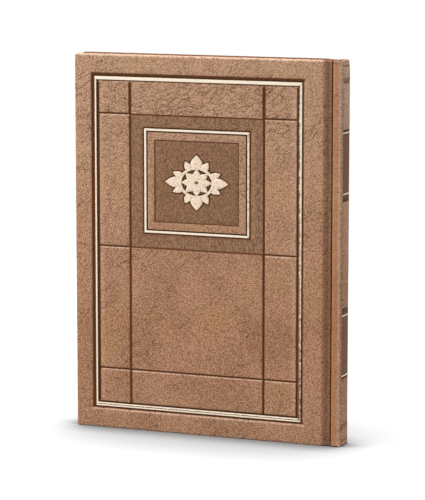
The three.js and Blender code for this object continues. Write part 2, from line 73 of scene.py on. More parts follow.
# The table is a sheet of smooth white card in a white room, which is a little brighter on the left.
# To the lens the card is as white as the room, but for the soft shade along the foot of the book.
card_size = 1.3
card_colour = (0.72, 0.72, 0.72, 1)
card_grip, card_glow = 0.25, 0.84
foot_shade_reaches, foot_shade_samples = (0.021, 0.09), 16
room_white, room_fill_left, room_fill_right = (1, 1, 1, 1), 0.56, 0.3
key_light = {"place": (-1.05, -0.62, 1.15), "aim": (0, 0, 0.13), "width": 0.54, "height": 0.54, "power": 19.2}
top_light = {"place": (0.1, 0.25, 1.5), "aim": (0, 0, 0.1), "width": 1.0, "height": 0.8, "power": 14}


class Recipe:
    """The nodes of a finish, each fed with plain values or with what other nodes give."""

    def __init__(self, owner):
        owner.use_nodes = True
        self.tree = owner.node_tree

    def feed(self, socket, value):
        if isinstance(value, bpy.types.NodeSocket):
            self.tree.links.new(value, socket)
        else:
            socket.default_value = value

    def put(self, kind, fed=None, **settings):
        node = self.tree.nodes.new("ShaderNode" + kind)
        for name, value in settings.items():
            setattr(node, name, value)
        for socket, value in (fed or {}).items():
            self.feed(node.inputs[socket], value)
        return node

    def end_white_to_lens(self, lighting, seen, output):
        """One shader for the light it gives, another for what the lens, a mirror or glass sees of it."""
        path = self.put("LightPath")
        share = path.outputs["Is Camera Ray"]
        for name in ("Is Glossy Ray", "Is Transmission Ray"):
            share = self.put("Math", {0: share, 1: path.outputs[name]}, use_clamp=True).outputs[0]
        choice = self.put("MixShader", {0: share, 1: lighting.outputs[0], 2: seen.outputs[0]})
        self.put(output, {0: choice.outputs[0]})


def white_room():
    world = bpy.data.worlds.new("white_room")
    room = Recipe(world)
    room.tree.nodes.clear()
    towards = room.put("SeparateXYZ", {0: room.put("TexCoord").outputs["Generated"]})
    level = room.put("MapRange", {0: towards.outputs[0], 1: -1, 2: 1, 3: room_fill_left, 4: room_fill_right})
    fill = room.put("Background", {"Color": room_white, "Strength": level.outputs[0]})
    room.end_white_to_lens(fill, room.put("Background", {"Color": room_white}), "OutputWorld")
    return world


def white_card():
    material = bpy.data.materials.new("white_card")
    card = Recipe(material)
    card.tree.nodes.clear()
    shaded = (card_grip, card_grip, card_grip, 1)
    for reach in foot_shade_reaches:
        fed = {"Color": shaded, "Distance": reach}
        shaded = card.put("AmbientOcclusion", fed, samples=foot_shade_samples).outputs["Color"]
    face = card.put("BsdfDiffuse", {"Color": shaded})
    glow = card.put("Emission", {"Color": shaded, "Strength": card_glow / card_grip})
    seen = card.put("AddShader", {0: face.outputs[0], 1: glow.outputs[0]})
    card.end_white_to_lens(card.put("BsdfDiffuse", {"Color": card_colour}), seen, "OutputMaterial")
    return material


def softbox(name, place, aim, width, height, power):
    lamp = bpy.data.lights.new(name, "AREA")
    lamp.shape = "RECTANGLE"
    lamp.size, lamp.size_y = width, height
    lamp.energy = power
    holder = bpy.data.objects.new(name, lamp)
    holder.location = place
    holder.rotation_euler = (Vector(aim) - Vector(place)).to_track_quat("-Z", "Y").to_euler()
    bpy.context.scene.collection.objects.link(holder)


bpy.context.scene.world = white_room()
half = card_size / 2
card_corners = [(-half, -half, 0), (half, -half, 0), (half, half, 0), (-half, half, 0)]
card_mesh = bpy.data.meshes.new("table")
card_mesh.from_pydata(card_corners, [], [(0, 1, 2, 3)])
card_mesh.materials.append(white_card())
table = bpy.data.objects.new("table", card_mesh)
bpy.context.scene.collection.objects.link(table)

softbox("key", **key_light)
softbox("top", **top_light)


# The eight sewn sections. Each is four sheets of cream book paper folded once and nested, so eight
# leaves thick. The three outer ones on each side are left unattached to the spine's body.
mm = 0.001
back_side, front_side = 1, -1
root_body = "spine_and_sewn_block"
section_count, sheets_per_section = 8, 4
paper_play = 0.1
bend_before, bend_after, bend_step = 1.3 * mm, 0.9 * mm, 0.3 * mm
fold_steps = 8
leaf_creep = 0.05 * mm
# Sizes of the paper's patterns along X, Y and Z, in millimetres as in every finish here.
paper_clouds, paper_fibres, cut_streaks = (30, 30, 30), (0.4, 0.4, 1.2), (20, 0.12, 30)


def shade(red, green, blue):
    """A colour as seen on a screen, from 0 to 255, turned into light."""
    def light(value):
        share = value / 255
        return share / 12.92 if share <= 0.04045 else ((share + 0.055) / 1.055) ** 2.4
    return (light(red), light(green), light(blue), 1)


class Finish(Recipe):
    """The recipe of one material: a shader and the patterns that feed it."""

    def __init__(self, name, roughness, specular):
        self.material = bpy.data.materials.new(name)
        super().__init__(self.material)
        self.shader = self.tree.nodes["Principled BSDF"]
        self.shader.inputs["Roughness"].default_value = roughness
        self.shader.inputs["Specular IOR Level"].default_value = specular

    def carried(self, name, output="Fac"):
        """A value that the mesh itself carries at each point."""
        return self.put("Attribute", attribute_name=name).outputs[output]

    def stretched(self, place, sizes, turn=0.0):
        """The place in units of a pattern whose features have these sizes."""
        turned = self.put("VectorRotate", {"Vector": place, "Angle": turn}, rotation_type="Y_AXIS")
        sizes = [size * mm for size in sizes]
        return self.put("VectorMath", {0: turned.outputs[0], 1: sizes}, operation="DIVIDE").outputs[0]

    def cloudy(self, place, sizes, turn=0.0, detail=2.0, roughness=0.5):
        fed = {"Vector": self.stretched(place, sizes, turn), "Scale": 1.0}
        return self.put("TexNoise", {**fed, "Detail": detail, "Roughness": roughness}).outputs["Fac"]

    def pebbles(self, place, sizes, turn, disorder):
        fed = {"Vector": self.stretched(place, sizes, turn), "Scale": 1.0, "Randomness": disorder}
        return self.put("TexVoronoi", fed).outputs["Distance"]

    def shaken(self, place, size, reach):
        """The place pushed about by a soft cloud, so that straight strokes run wavy."""
        cloud = self.put("TexNoise", {"Vector": self.stretched(place, (size,) * 3), "Scale": 1.0})
        fed = {0: cloud.outputs["Color"], 1: (reach * mm,) * 3, 2: place}
        return self.put("VectorMath", fed, operation="MULTIPLY_ADD").outputs[0]

    def maths(self, operation, *terms, clamp=False):
        return self.put("Math", dict(enumerate(terms)), operation=operation, use_clamp=clamp).outputs[0]

    def times(self, first, second, clamp=False):
        return self.maths("MULTIPLY", first, second, clamp=clamp)

    def times_plus(self, first, second, added, clamp=False):
        return self.maths("MULTIPLY_ADD", first, second, added, clamp=clamp)

    def between(self, value, low, high, to_low=0.0, to_high=1.0):
        """A value led smoothly from one level to another while it goes from low to high."""
        fed = dict(enumerate((value, low, high, to_low, to_high)))
        return self.put("MapRange", fed, interpolation_type="SMOOTHSTEP").outputs[0]

    def mixed(self, share, first, second):
        return self.put("Mix", {0: share, 6: first, 7: second}, data_type="RGBA").outputs[2]

    def raised(self, height, depth, strength=1.0, invert=False):
        """Relief from a height between nought and one, so many metres deep, or from its opposite."""
        fed = {"Strength": strength, "Distance": depth, "Height": height}
        self.feed(self.shader.inputs["Normal"], self.put("Bump", fed, invert=invert).outputs[0])

    def coloured(self, colour):
        self.feed(self.shader.inputs["Base Color"], colour)


def paper_finish(name, colour, dusk, streaks):
    """Uncoated paper: cloudy, with short fibres, and streaked along its cut edges."""
    paper = Finish(name, roughness=0.8, specular=0.25)
    place = paper.carried("rest_place", "Vector")
    cloud = paper.cloudy(place, paper_clouds, detail=3.0)
    fibre = paper.cloudy(place, paper_fibres)
    edge = paper.cloudy(place, cut_streaks, roughness=0.6)
    tone = paper.mixed(paper.times(cloud, 0.2), colour, dusk)
    paper.coloured(paper.mixed(paper.between(edge, 0.42, 0.7, 0.0, streaks), tone, dusk))
    paper.raised(paper.times_plus(fibre, 0.4, edge), 0.04 * mm, 0.5, invert=True)
    return paper.material


book_paper = paper_finish("book_paper", shade(235, 225, 203), shade(206, 190, 160), streaks=0.3)


def new_piece(name, points, faces, material, **carried):
    """A smooth-shaded mesh that also carries its own places at rest and any other named values."""
    mesh = bpy.data.meshes.new(name)
    mesh.from_pydata([tuple(point) for point in points], [], faces)
    mesh.polygons.foreach_set("use_smooth", [True] * len(mesh.polygons))
    mesh.materials.append(material)
    places = np.array([tuple(point) for point in points], np.float32)
    mesh.attributes.new("rest_place", "FLOAT_VECTOR", "POINT").data.foreach_set("vector", places.ravel())
    for label, numbers in carried.items():
        mesh.attributes.new(label, "FLOAT", "POINT").data.foreach_set("value", np.ravel(numbers))
    piece = bpy.data.objects.new(name, mesh)
    bpy.context.scene.collection.objects.link(piece)
    return piece


def faces_between(rows, ring=False, flip=False):
    """Four-sided faces between neighbouring rows of point numbers. A ring's row ends where it starts."""
    faces = []
    for first, second in zip(rows, rows[1:]):
        if ring:
            first, second = [*first, first[0]], [*second, second[0]]
        for a, b, c, d in zip(first, first[1:], second[1:], second):
            faces.append((a, d, c, b) if flip else (a, b, c, d))
    return faces


def solid_through(rings, flip=False):
    """Points and faces of a closed form through rings of points, with a face over each end."""
    size = len(rings[0])
    rows = [range(i * size, (i + 1) * size) for i in range(len(rings))]
    turn = 1 if flip else -1
    ends = [tuple(rows[0][::turn]), tuple(rows[-1][::-turn])]
    return [point for ring in rings for point in ring], faces_between(rows, True, flip) + ends


def together(forms):
    """One list of points and one of faces for the several closed forms of a piece."""
    points, faces = [], []
    for more, sides in forms:
        faces += [tuple(len(points) + i for i in side) for side in sides]
        points += more
    return points, faces


def standing_strip(line, thickness, z0, z1):
    """A sheet of paper that stands on edge along a line seen from above."""
    line = [Vector(point) for point in line]
    rings = []
    for i, point in enumerate(line):
        along = (line[min(i + 1, len(line) - 1)] - line[max(i - 1, 0)]).normalized()
        aside = Vector((-along.y, along.x)) * thickness / 2
        near, far = point + aside, point - aside
        rings.append([(near.x, near.y, z0), (near.x, near.y, z1), (far.x, far.y, z1), (far.x, far.y, z0)])
    return solid_through(rings)


def bend_stops(bend_x, low, high):
    """Places along X that are close together round a bend line."""
    count = math.ceil((bend_before + bend_after) / bend_step)
    near = [bend_x - bend_before + (bend_before + bend_after) * i / count for i in range(count + 1)]
    return [x for x in near if low < x < high]


def folded_sheet(near_y, far_y, fore_x, fold_x, bend_x):
    """The line of one folded sheet, seen from above, from one fore edge round the fold to the other."""
    radius, middle = (far_y - near_y) / 2, (far_y + near_y) / 2
    straight = [fore_x] + (bend_stops(bend_x, fore_x, fold_x - radius) if bend_x else [])
    turns = [math.pi * (i / fold_steps - 0.5) for i in range(fold_steps + 1)]
    arc = [(fold_x - radius + radius * math.cos(t), middle + radius * math.sin(t)) for t in turns]
    return [(x, near_y) for x in straight] + arc + [(x, far_y) for x in reversed(straight)]


def bend_leaves(piece, bend_x, middle):
    start, end = Vector(middle), Vector(middle)
    start.x, end.x = bend_x - bend_before, bend_x + bend_after
    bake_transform(piece)


def sewn_section(number):
    moving = f"section_{number}_leaves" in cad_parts
    nodes = [f"section_{number}_leaves", f"section_{number}_fold"] if moving else [f"section_{number}"]
    boxes = [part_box(node) for node in nodes]
    low = Vector(np.min([box[0] for box in boxes], axis=0))
    high = Vector(np.max([box[1] for box in boxes], axis=0))
    bend_x = boxes[0][1].x if moving else None
    pitch = (high.y - low.y) / (2 * sheets_per_section)
    chance = random.Random(number)
    sheets = []
    for sheet in range(sheets_per_section):
        inset = (sheet + 0.5) * pitch
        creep = [chance.uniform(0, leaf_creep) for _ in range(4)]
        line = folded_sheet(low.y + inset, high.y - inset, low.x + creep[0], high.x - inset, bend_x)
        line[-1] = (low.x + creep[1], line[-1][1])
        sheets.append(standing_strip(line, pitch * (1 - paper_play), low.z + creep[2], high.z - creep[3]))
    piece = new_piece(f"section_{number}_paper", *together(sheets), book_paper)
    if moving:
        bend_leaves(piece, bend_x, (low + high) / 2)
    else:
        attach(piece, root_body)
    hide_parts(*nodes)


for number in range(1, section_count + 1):
    sewn_section(number)


# The flyleaves are the loose halves of two folded endpapers, heavier and plainer than the pages.
# Each is tipped to the outer section at its fold.
fold_lap = 0.4 * mm
endpaper = paper_finish("endpaper", shade(233, 222, 197), shade(206, 188, 152), streaks=0.15)


def flyleaf(word):
    low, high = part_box(f"{word}_flyleaf")
    fold_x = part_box(f"{word}_endpaper_fold")[1].x
    middle_y = (low.y + high.y) / 2
    stops = [low.x] + bend_stops(high.x, low.x, fold_x) + [fold_x - fold_lap, fold_x]
    strip = standing_strip([(x, middle_y) for x in stops], high.y - low.y, low.z, high.z)
    piece = new_piece(f"{word}_flyleaf_paper", *strip, endpaper)
    bend_leaves(piece, high.x, (0, middle_y, low.z))
    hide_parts(f"{word}_flyleaf", f"{word}_endpaper_fold")


flyleaf("front")
flyleaf("back")


# Mull, an open cotton weave, is glued over the folds, and a strip of brown paper over the mull.
# Both are hidden in the hollow of the spine.
mull_threads, mull_scale, mull_waver = (6.5, 6.5, 6.5), 1.6, 0.4
lining_fibre, pulp_specks = 0.6, (0.8, 0.8, 0.8)


def mull_finish():
    mull = Finish("mull", roughness=0.9, specular=0.2)
    place = mull.stretched(mull.put("TexCoord").outputs["Object"], mull_threads)
    fed = {"Vector": place, "Scale": mull_scale, "Distortion": mull_waver}
    across, along = (mull.put("TexWave", fed, wave_type="BANDS", bands_direction=way).outputs["Fac"]
                     for way in ("Z", "Y"))
    threads = mull.maths("MAXIMUM", across, along)
    mull.coloured(mull.mixed(threads, shade(150, 130, 95), shade(226, 215, 190)))
    mull.raised(threads, 0.2 * mm, 0.8)
    return mull.material


def pulp_finish(name, colour, speck, fibre):
    """Grey or brown board and paper made of pulp: specked, with a felted face."""
    pulp = Finish(name, roughness=0.9, specular=0.2)
    place = pulp.put("TexCoord").outputs["Object"]
    specks = pulp.cloudy(place, pulp_specks, detail=3.0, roughness=0.7)
    pulp.coloured(pulp.mixed(pulp.between(specks, 0.5, 0.72), colour, speck))
    pulp.raised(pulp.cloudy(place, (fibre, fibre, fibre * 3)), 0.1 * mm, 0.6)
    return pulp.material


def refinish(node, material):
    """Gives a construction piece that stays in view its real finish."""
    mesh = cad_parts[node].data
    mesh.materials.clear()
    mesh.materials.append(material)


refinish("mull", mull_finish())
refinish("spine_lining", pulp_finish("lining_paper", shade(178, 150, 112), shade(140, 112, 78), lining_fibre))


# The headband and tailband: a bead wound with cream and brown thread on a strip of tape, glued in
# at the ends of the folds.
bead_radius, bead_sides = 0.9 * mm, 14
taper_start, least_taper = 0.88, 0.05
wrap_pitch, rings_per_wrap, wraps_per_stripe = 0.42 * mm, 4, 2
wrap_relief = 0.12
tape_thickness, tape_steps = 0.28 * mm, 10
tape_width_share, tape_seat_share = 0.92, 0.6
thread_twist = (0.3, 0.08, 0.3)


def thread_finish():
    thread = Finish("band_thread", roughness=0.55, specular=0.4)
    twist = thread.cloudy(thread.put("TexCoord").outputs["Object"], thread_twist)
    plain = thread.mixed(thread.carried("stripe"), shade(236, 226, 204), shade(126, 78, 46))
    thread.coloured(thread.mixed(thread.times(twist, 0.4), plain, shade(90, 66, 44)))
    thread.raised(twist, 0.05 * mm, 0.6, invert=True)
    return thread.material


band_thread = thread_finish()


def end_band(node, hand):
    low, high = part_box(node)
    edge_z, tape_end = (high.z, low.z) if hand > 0 else (low.z, high.z)
    bead_z = edge_z - hand * bead_radius
    half_width = high.y - bead_radius / 4
    bow = (high.x - low.x - bead_radius) / 4
    count = int(2 * half_width / wrap_pitch) * rings_per_wrap
    rings, stripe = [], []
    for ring in range(count + 1):
        along = ring / count * 2 - 1
        centre_x = high.x - bead_radius - bow * along ** 2
        past = max(0.0, (abs(along) - taper_start) / (1 - taper_start))
        taper = math.sqrt(max(0.0, 1 - past ** 2)) or least_taper
        wrap = 1 - wrap_relief * (0.5 + 0.5 * math.cos(2 * math.pi * ring / rings_per_wrap))
        radius = bead_radius * wrap * taper
        turns = [2 * math.pi * k / bead_sides for k in range(bead_sides)]
        rings.append([(centre_x + radius * math.cos(t), half_width * along, bead_z + radius * math.sin(t))
                      for t in turns])
        brown = ring // rings_per_wrap % (2 * wraps_per_stripe) >= wraps_per_stripe
        stripe += [float(brown)] * bead_sides
    line = []
    for i in range(tape_steps + 1):
        along = 2 * i / tape_steps - 1
        tape_x = high.x - bead_radius * tape_seat_share - bow * along ** 2
        line.append((tape_x, half_width * tape_width_share * along))
    tape = standing_strip(line, tape_thickness, min(tape_end, bead_z), max(tape_end, bead_z))
    points, faces = together([solid_through(rings, flip=True), tape])
    stripe += [0.0] * len(tape[0])
    piece = new_piece(f"{node}_thread", points, faces, band_thread, stripe=stripe)
    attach(piece, root_body)
    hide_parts(node)


end_band("headband", 1)
end_band("tailband", -1)


# The boards are grey binder's board, and the spine is stiffened with a strip of thinner board.
# They stay as they are built, with the specked face of pressed pulp.
board_fibre = 0.5
binders_board = pulp_finish("binders_board", shade(166, 158, 144), shade(120, 112, 98), board_fibre)
for node in ("front_board", "back_board", "spine_stiffener"):
    refinish(node, binders_board)


# The front cover is padded leatherette with a fine drawn grain, drawn over the board, rolled round
# its edges and turned in. A heated plate has pressed its border, lines, panel and plaque into it.
leather_thickness, turn_in_thickness, rolled_skin_share = 0.88 * mm, 0.33 * mm, 0.36
turn_in_width = 15 * mm
cover_depth = 3.09 * mm
rim, edge_radius, inner_radius = 1.6 * mm, 1.1 * mm, 0.3 * mm
roll_share, inner_roll_share = 0.45, 0.3
# Steps of the roll over an edge: its two turns in degrees, and shares of its side and of its turn-in.
roll_turns, inner_turns = range(0, 91, 15), (30, 60, 90)
side_steps, flap_steps = (0.5, 1.0), (0.15, 0.55, 1.0)
corner_steps = 6
joint_notch, joint_lap = 0.3 * mm, 0.05 * mm
notch_run = ([-1, 2], [0, 1])
crease_depth, joint_roll = 2.19 * mm, 1.7
edge_draw = 0.3
lump_height, lump_size, lump_row = 0.05 * mm, 14 * mm, 0.3
grid_step, fine_step, fine_before_joint = 3.5 * mm, 0.6 * mm, 2 * mm
weld_reach = 0.001 * mm

cover_low, cover_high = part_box("front_cover_skin")
spine_low, spine_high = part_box("spine_skin")
fore_x, board_end_x, crease_x = cover_low.x, cover_high.x, spine_low.x
cover_height, face_y = cover_high.z, abs(cover_low.y)


def grown_box(node, margin):
    """A rectangle on the face of the cover, grown by a margin: fore edge, tail, spine, head."""
    low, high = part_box(node)
    return (low.x - margin, low.z - margin, high.x + margin, high.z + margin)


border_groove, plaque_line = 2.0 * mm, 0.9 * mm
border_box = grown_box("front_border_foil", border_groove)
plaque_box = grown_box("front_plaque_foil", plaque_line)
panel_box = (-51.7 * mm, 117.9 * mm, 38.7 * mm, 202.6 * mm)
bottom_line_z = 38.9 * mm
inside_border = 4.9 * mm
panel_reach, panel_smooth_from = 1.2 * mm, 0.1 * mm
recess_edge, recess_dusk_from, recess_floor, recess_dusk = 8 * mm, 8.4 * mm, 9 * mm, 0.13

# Walls of the tooling, as distances inwards from an edge and the depth there, in millimetres.
border_walls = ([-1.1, -0.6, -0.3, 0.3, 0.55, 1.55, 1.75, 1.8, 4.05, 4.1, 4.3, 4.6, 4.85, 5.45, 5.75, 6.3],
                [0, 0.03, 0.11, 0.47, 0.5, 0.5, 0.24, 0.2, 0.2, 0.24, 0.5, 0.5, 0.47, 0.11, 0.03, 0])
plaque_walls = ([0.0, 0.2, 0.7, 0.88, 0.92, 2.4, 2.44, 2.62, 2.95, 3.15, 3.4, 3.7, 7.3, 7.8, 8.05, 8.4, 8.7],
                [0.3, 0.45, 0.45, 0.24, 0.2, 0.2, 0.24, 0.45, 0.45, 0.34, 0.04, 0, 0, 0.07, 0.55, 0.55, 0.4])
panel_walls = ([-1.0, -0.2, 0.0, 0.35, 0.6, 1.0], [0, 0.03, 0.34, 0.42, 0.34, 0.3])
line_walls = ([0.0, 0.25, 0.5, 1.05, 1.3, 1.8], [0.5, 0.48, 0.42, 0.1, 0.03, 0])

# How dark each wall is burnt by the hot plate, by the same distances.
border_burn = ([0.0, 0.9, 1.6, 1.8, 4.05, 4.25, 4.6, 5.5], [0.62, 0.72, 0.9, 0.6, 0.6, 0.92, 0.8, 0.7])
plaque_burn = ([-0.1, 0.15, 0.6, 0.85, 0.95, 2.35, 2.45, 3.1, 3.3, 7.8, 7.95, 8.3, 8.5],
               [0, 0.8, 0.76, 0.8, 0.6, 0.6, 0.9, 0.84, 0, 0, 0.82, 0.76, 0])
panel_burn = ([-0.45, -0.15, 0.45, 0.8], [0, 0.62, 0.62, 0])
upright_burn = ([0.3, 0.65, 0.9], [0.72, 0.62, 0])
upper_upright_burn = ([0.3, 0.95, 1.2], [0.7, 0.62, 0])
# The level lines' dark reaches further up than down: painted shade on the wall that faces down.
level_burn_and_shade = ([-0.5, -0.25, 0.0, 0.3, 0.5, 0.8], [0, 0.66, 0.76, 0.76, 0.66, 0])
# The skin in the joint is darker by its distance from the crease: partly dirt, partly painted shade.
joint_dirt_and_shade = ([0, 0.3, 0.65, 1.3, 2.1, 3.4, 4.8, 5.6, 6.0], [0.7, 0.55, 0.18, 0.1, 0.3, 0.3, 0.26, 0.18, 0])

# The border's burn reaches wider on the sides where a groove's wall faces away from the light, as
# painted shade. It begins and ends at these distances on the sides of the fore edge, the spine, the tail
# and the head, over a soft edge.
burn_and_shade_starts, burn_and_shade_ends = np.array((0.0, 0.75, 0.45, -0.4)), np.array((5.8, 5.3, 5.2, 4.6))
burn_edge = ([-0.15, 0.15], [0, 1])

# Beside each groove the raised lip of the skin is painted pale as a highlight: below the border and the
# level lines, and along the inner side of the border's uprights.
tail_lip_highlight = ([-1.1, -0.6, -0.3, 0.3], [0, 0.45, 1, 0])
level_lip_highlight = ([-1.3, -1.05, -0.5, -0.4], [0, 0.6, 0.5, 0])
inner_lip_highlight = ([5.45, 5.75, 6.3, 7.6], [0, 0.25, 0.25, 0])


def follow(distance, run):
    """The value at a distance, from a run of distances in millimetres and their values."""
    return np.interp(distance / mm, *run)


def wall(distance, walls):
    return follow(distance, walls) * mm


def inside_each(box, x, z):
    """How far each point lies inside a box from its fore edge, spine, tail and head sides."""
    x0, z0, x1, z1 = box
    return np.stack([x - x0, x1 - x, z - z0, z1 - z])


def inside_of(box, x, z):
    """How far each point lies inside the nearest side of a box."""
    return inside_each(box, x, z).min(axis=0)


def spread(stops, step):
    """Grid places through every stop, no further apart than a step."""
    stops = sorted(set(round(stop, 7) for stop in stops))
    places = []
    for low, high in zip(stops, stops[1:]):
        count = max(1, math.ceil((high - low) / step - 1e-6))
        places += [low + (high - low) * i / count for i in range(count)]
    return np.array(places + [stops[-1]])


def stops_along(ends, walls, span):
    """The stops that a wall profile needs inwards from both ends of a box, or both ways from a line."""
    places = [end + way * stop * mm for stop in walls[0] for end, way in zip(ends, (1, -1))]
    return [place for place in places if span[0] < place < span[1]]


# The centrepiece: eight petals in a ring of foil, with a long leaf and two sprigs at each quarter.
# Each leaf is a root, a reach, a width and an angle, in shares of half the centrepiece's width.
leaf_rounding = 0.75
eye_share, rosette_share = 0.06, 0.14
ring_inner_share, ring_outer_share = 0.47, 0.56
petals = [(0.06, 0.49, 0.27, 2 * math.pi * i / 8) for i in range(8)]
tips = [(0.47, 1.0, 0.38, math.pi / 2 * i) for i in range(4)]
sprigs = [(0.47, 0.84, 0.23, math.pi / 2 * i + hand * math.pi / 7) for i in range(4) for hand in (1, -1)]
all_leaves = petals + tips + sprigs
sprig_low, sprig_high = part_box("front_centrepiece_foil")
sprig_middle = (sprig_low + sprig_high) / 2
sprig_half_x, sprig_half_z = (sprig_high.x - sprig_low.x) / 2, (sprig_high.z - sprig_low.z) / 2
# The skin is pressed down a little in a rim round each leaf.
leaf_sink, leaf_burn = 0.12 * mm, 0.9
sink_run = ([-0.2, 0.05, 0.55, 1.1], [0, 1, 1, 0])


def outside_centrepiece(x, z):
    """How far each point lies outside the nearest leaf, ring or rosette of the centrepiece."""
    u, v = (x - sprig_middle.x) / sprig_half_x, (z - sprig_middle.z) / sprig_half_z
    away = np.hypot(u, v)
    ring_middle = (ring_inner_share + ring_outer_share) / 2
    ring_half = (ring_outer_share - ring_inner_share) / 2
    nearest = np.minimum(away - rosette_share, np.abs(away - ring_middle) - ring_half)
    for root, reach, width, angle in all_leaves:
        along = (u * math.cos(angle) + v * math.sin(angle) - root) / (reach - root)
        aside = np.abs(v * math.cos(angle) - u * math.sin(angle))
        half_width = width / 2 * np.sin(math.pi * np.clip(along, 0, 1) ** leaf_rounding)
        past = np.maximum(np.maximum(-along, along - 1), 0) * (reach - root)
        within = np.where((along > 0) & (along < 1), np.maximum(half_width - aside, 0), 0)
        nearest = np.minimum(nearest, np.maximum(aside - half_width, 0) + past - within)
    return nearest * sprig_half_z


def front_tooling(x, z):
    """Depth of the tooling, how dark it is (below nought, how pale the painted highlight on its lips is) and
    where it is smooth.
    """
    border, panel, plaque = (inside_of(box, x, z) for box in (border_box, panel_box, plaque_box))
    in_border = border > inside_border
    nearest = inside_each(border_box, x, z).argmin(axis=0)
    past_start, before_end = border / mm - burn_and_shade_starts[nearest], burn_and_shade_ends[nearest] - border / mm
    groove = follow(border, border_burn) * np.interp(np.minimum(past_start, before_end), *burn_edge)
    highlight_and_pale = np.where(nearest == 2, follow(border, tail_lip_highlight), 0)
    highlight_and_pale = np.maximum(highlight_and_pale, np.where(nearest < 2, follow(border, inner_lip_highlight), 0))
    lines, burn = np.zeros_like(x), np.zeros_like(x)
    for place in (panel_box[0], panel_box[2]):
        away = np.abs(x - place)
        lines = np.maximum(lines, wall(away, line_walls))
        above = z > panel_box[3]
        burn = np.maximum(burn, np.where(above, follow(away, upper_upright_burn), follow(away, upright_burn)))
    beside = (x < panel_box[0]) | (x > panel_box[2])
    for place in (bottom_line_z, panel_box[1], panel_box[3]):
        here = beside | (place == bottom_line_z)
        lines = np.maximum(lines, np.where(here, wall(np.abs(z - place), line_walls), 0))
        burn = np.maximum(burn, np.where(here, follow(z - place, level_burn_and_shade), 0))
        highlight_and_pale = np.maximum(highlight_and_pale, np.where(here & in_border, follow(z - place, level_lip_highlight), 0))
    sunk = np.where(plaque > 0, wall(plaque, plaque_walls), wall(panel, panel_walls))
    around = np.where(plaque > recess_floor, follow(outside_centrepiece(x, z), sink_run), 0)
    depth = wall(border, border_walls)
    for more in (np.where(in_border, lines, 0), np.where(panel > -panel_reach, sunk, 0)):
        depth = np.maximum(depth, more)
    for more in (np.where(in_border, burn, 0), follow(panel, panel_burn), follow(plaque, plaque_burn),
                 around * leaf_burn, np.where(plaque > recess_dusk_from, recess_dusk, 0)):
        groove = np.maximum(groove, more)
    smooth = (panel > panel_smooth_from) & ((plaque < 0) | (plaque > recess_edge))
    return depth + around * leaf_sink, np.where(groove > 0, groove, -highlight_and_pale), smooth.astype(float)


def joint_fall(x):
    """How far the skin has rolled down from the board towards the crease."""
    along = np.clip((x - board_end_x) / (crease_x - board_end_x), 0, 1)
    return crease_depth * along ** joint_roll


def edge_roll(face, inset, radius, wall_depth):
    """The roll of skin over one edge, as (inset, depth) steps from the face to the end of the turn-in."""
    radius = min(radius, (wall_depth - face) * roll_share)
    inner = min(inner_radius, (wall_depth - face) * inner_roll_share)
    steps = [(rim, face)]
    steps += [(inset + radius - radius * math.sin(a), face + radius - radius * math.cos(a))
              for a in np.radians(roll_turns)]
    steps += [(inset, face + radius + (wall_depth - inner - face - radius) * s) for s in side_steps]
    steps += [(inset + inner - inner * math.cos(a), wall_depth - inner + inner * math.sin(a))
              for a in np.radians(inner_turns)]
    steps += [(inset + inner + (turn_in_width - inset - inner) * s, wall_depth) for s in flap_steps]
    return steps


def skin_piece(name, sheet_points, sheet_faces, values, material):
    """A closed piece of skin: the sheet, a second face inside it and walls along its free edges.

    The values at each point are tone (burn, painted shade, below nought painted highlights), pressed, drawn
    and thickness.
    """
    sheet = bmesh.new()
    labels = [sheet.verts.layers.float.new(label) for label in ("groove", "pressed", "drawn", "thickness")]
    verts = []
    for point, numbers in zip(sheet_points, values):
        vert = sheet.verts.new(point)
        for label, number in zip(labels, numbers):
            vert[label] = number
        verts.append(vert)
    for face in sheet_faces:
        sheet.faces.new([verts[i] for i in face])
    bmesh.ops.remove_doubles(sheet, verts=sheet.verts, dist=weld_reach)
    bmesh.ops.dissolve_degenerate(sheet, edges=sheet.edges, dist=weld_reach)
    sheet.normal_update()
    sheet.verts.index_update()
    kept = [[vert[label] for label in labels] for vert in sheet.verts]
    points = [vert.co.copy() for vert in sheet.verts]
    points += [vert.co - vert.normal * numbers[-1] for vert, numbers in zip(sheet.verts, kept)]
    outer = [[vert.index for vert in face.verts] for face in sheet.faces]
    under = len(kept)
    faces = outer + [[i + under for i in reversed(face)] for face in outer]
    for loop in (edge.link_loops[0] for edge in sheet.edges if edge.is_boundary):
        first, second = loop.vert.index, loop.link_loop_next.vert.index
        faces.append([second, first, first + under, second + under])
    sheet.free()
    groove, pressed, drawn, _ = zip(*(kept + kept))
    return new_piece(name, points, faces, material, groove=groove, pressed=pressed, drawn=drawn)


def bend_over_joint(piece):
    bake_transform(piece)


# The roll at the head of the front cover is painted pale as a highlight. The whole head edge of the
# back one is painted dark as shade, and the first of its turn-in a little. Each is a tone and how far it
# reaches.
head_highlight_and_shade = {front_side: (-0.8, 0.8 * edge_radius), back_side: (0.6, cover_depth)}
flap_painted_shade = {front_side: (0, 0), back_side: (0.28, 3 * mm)}


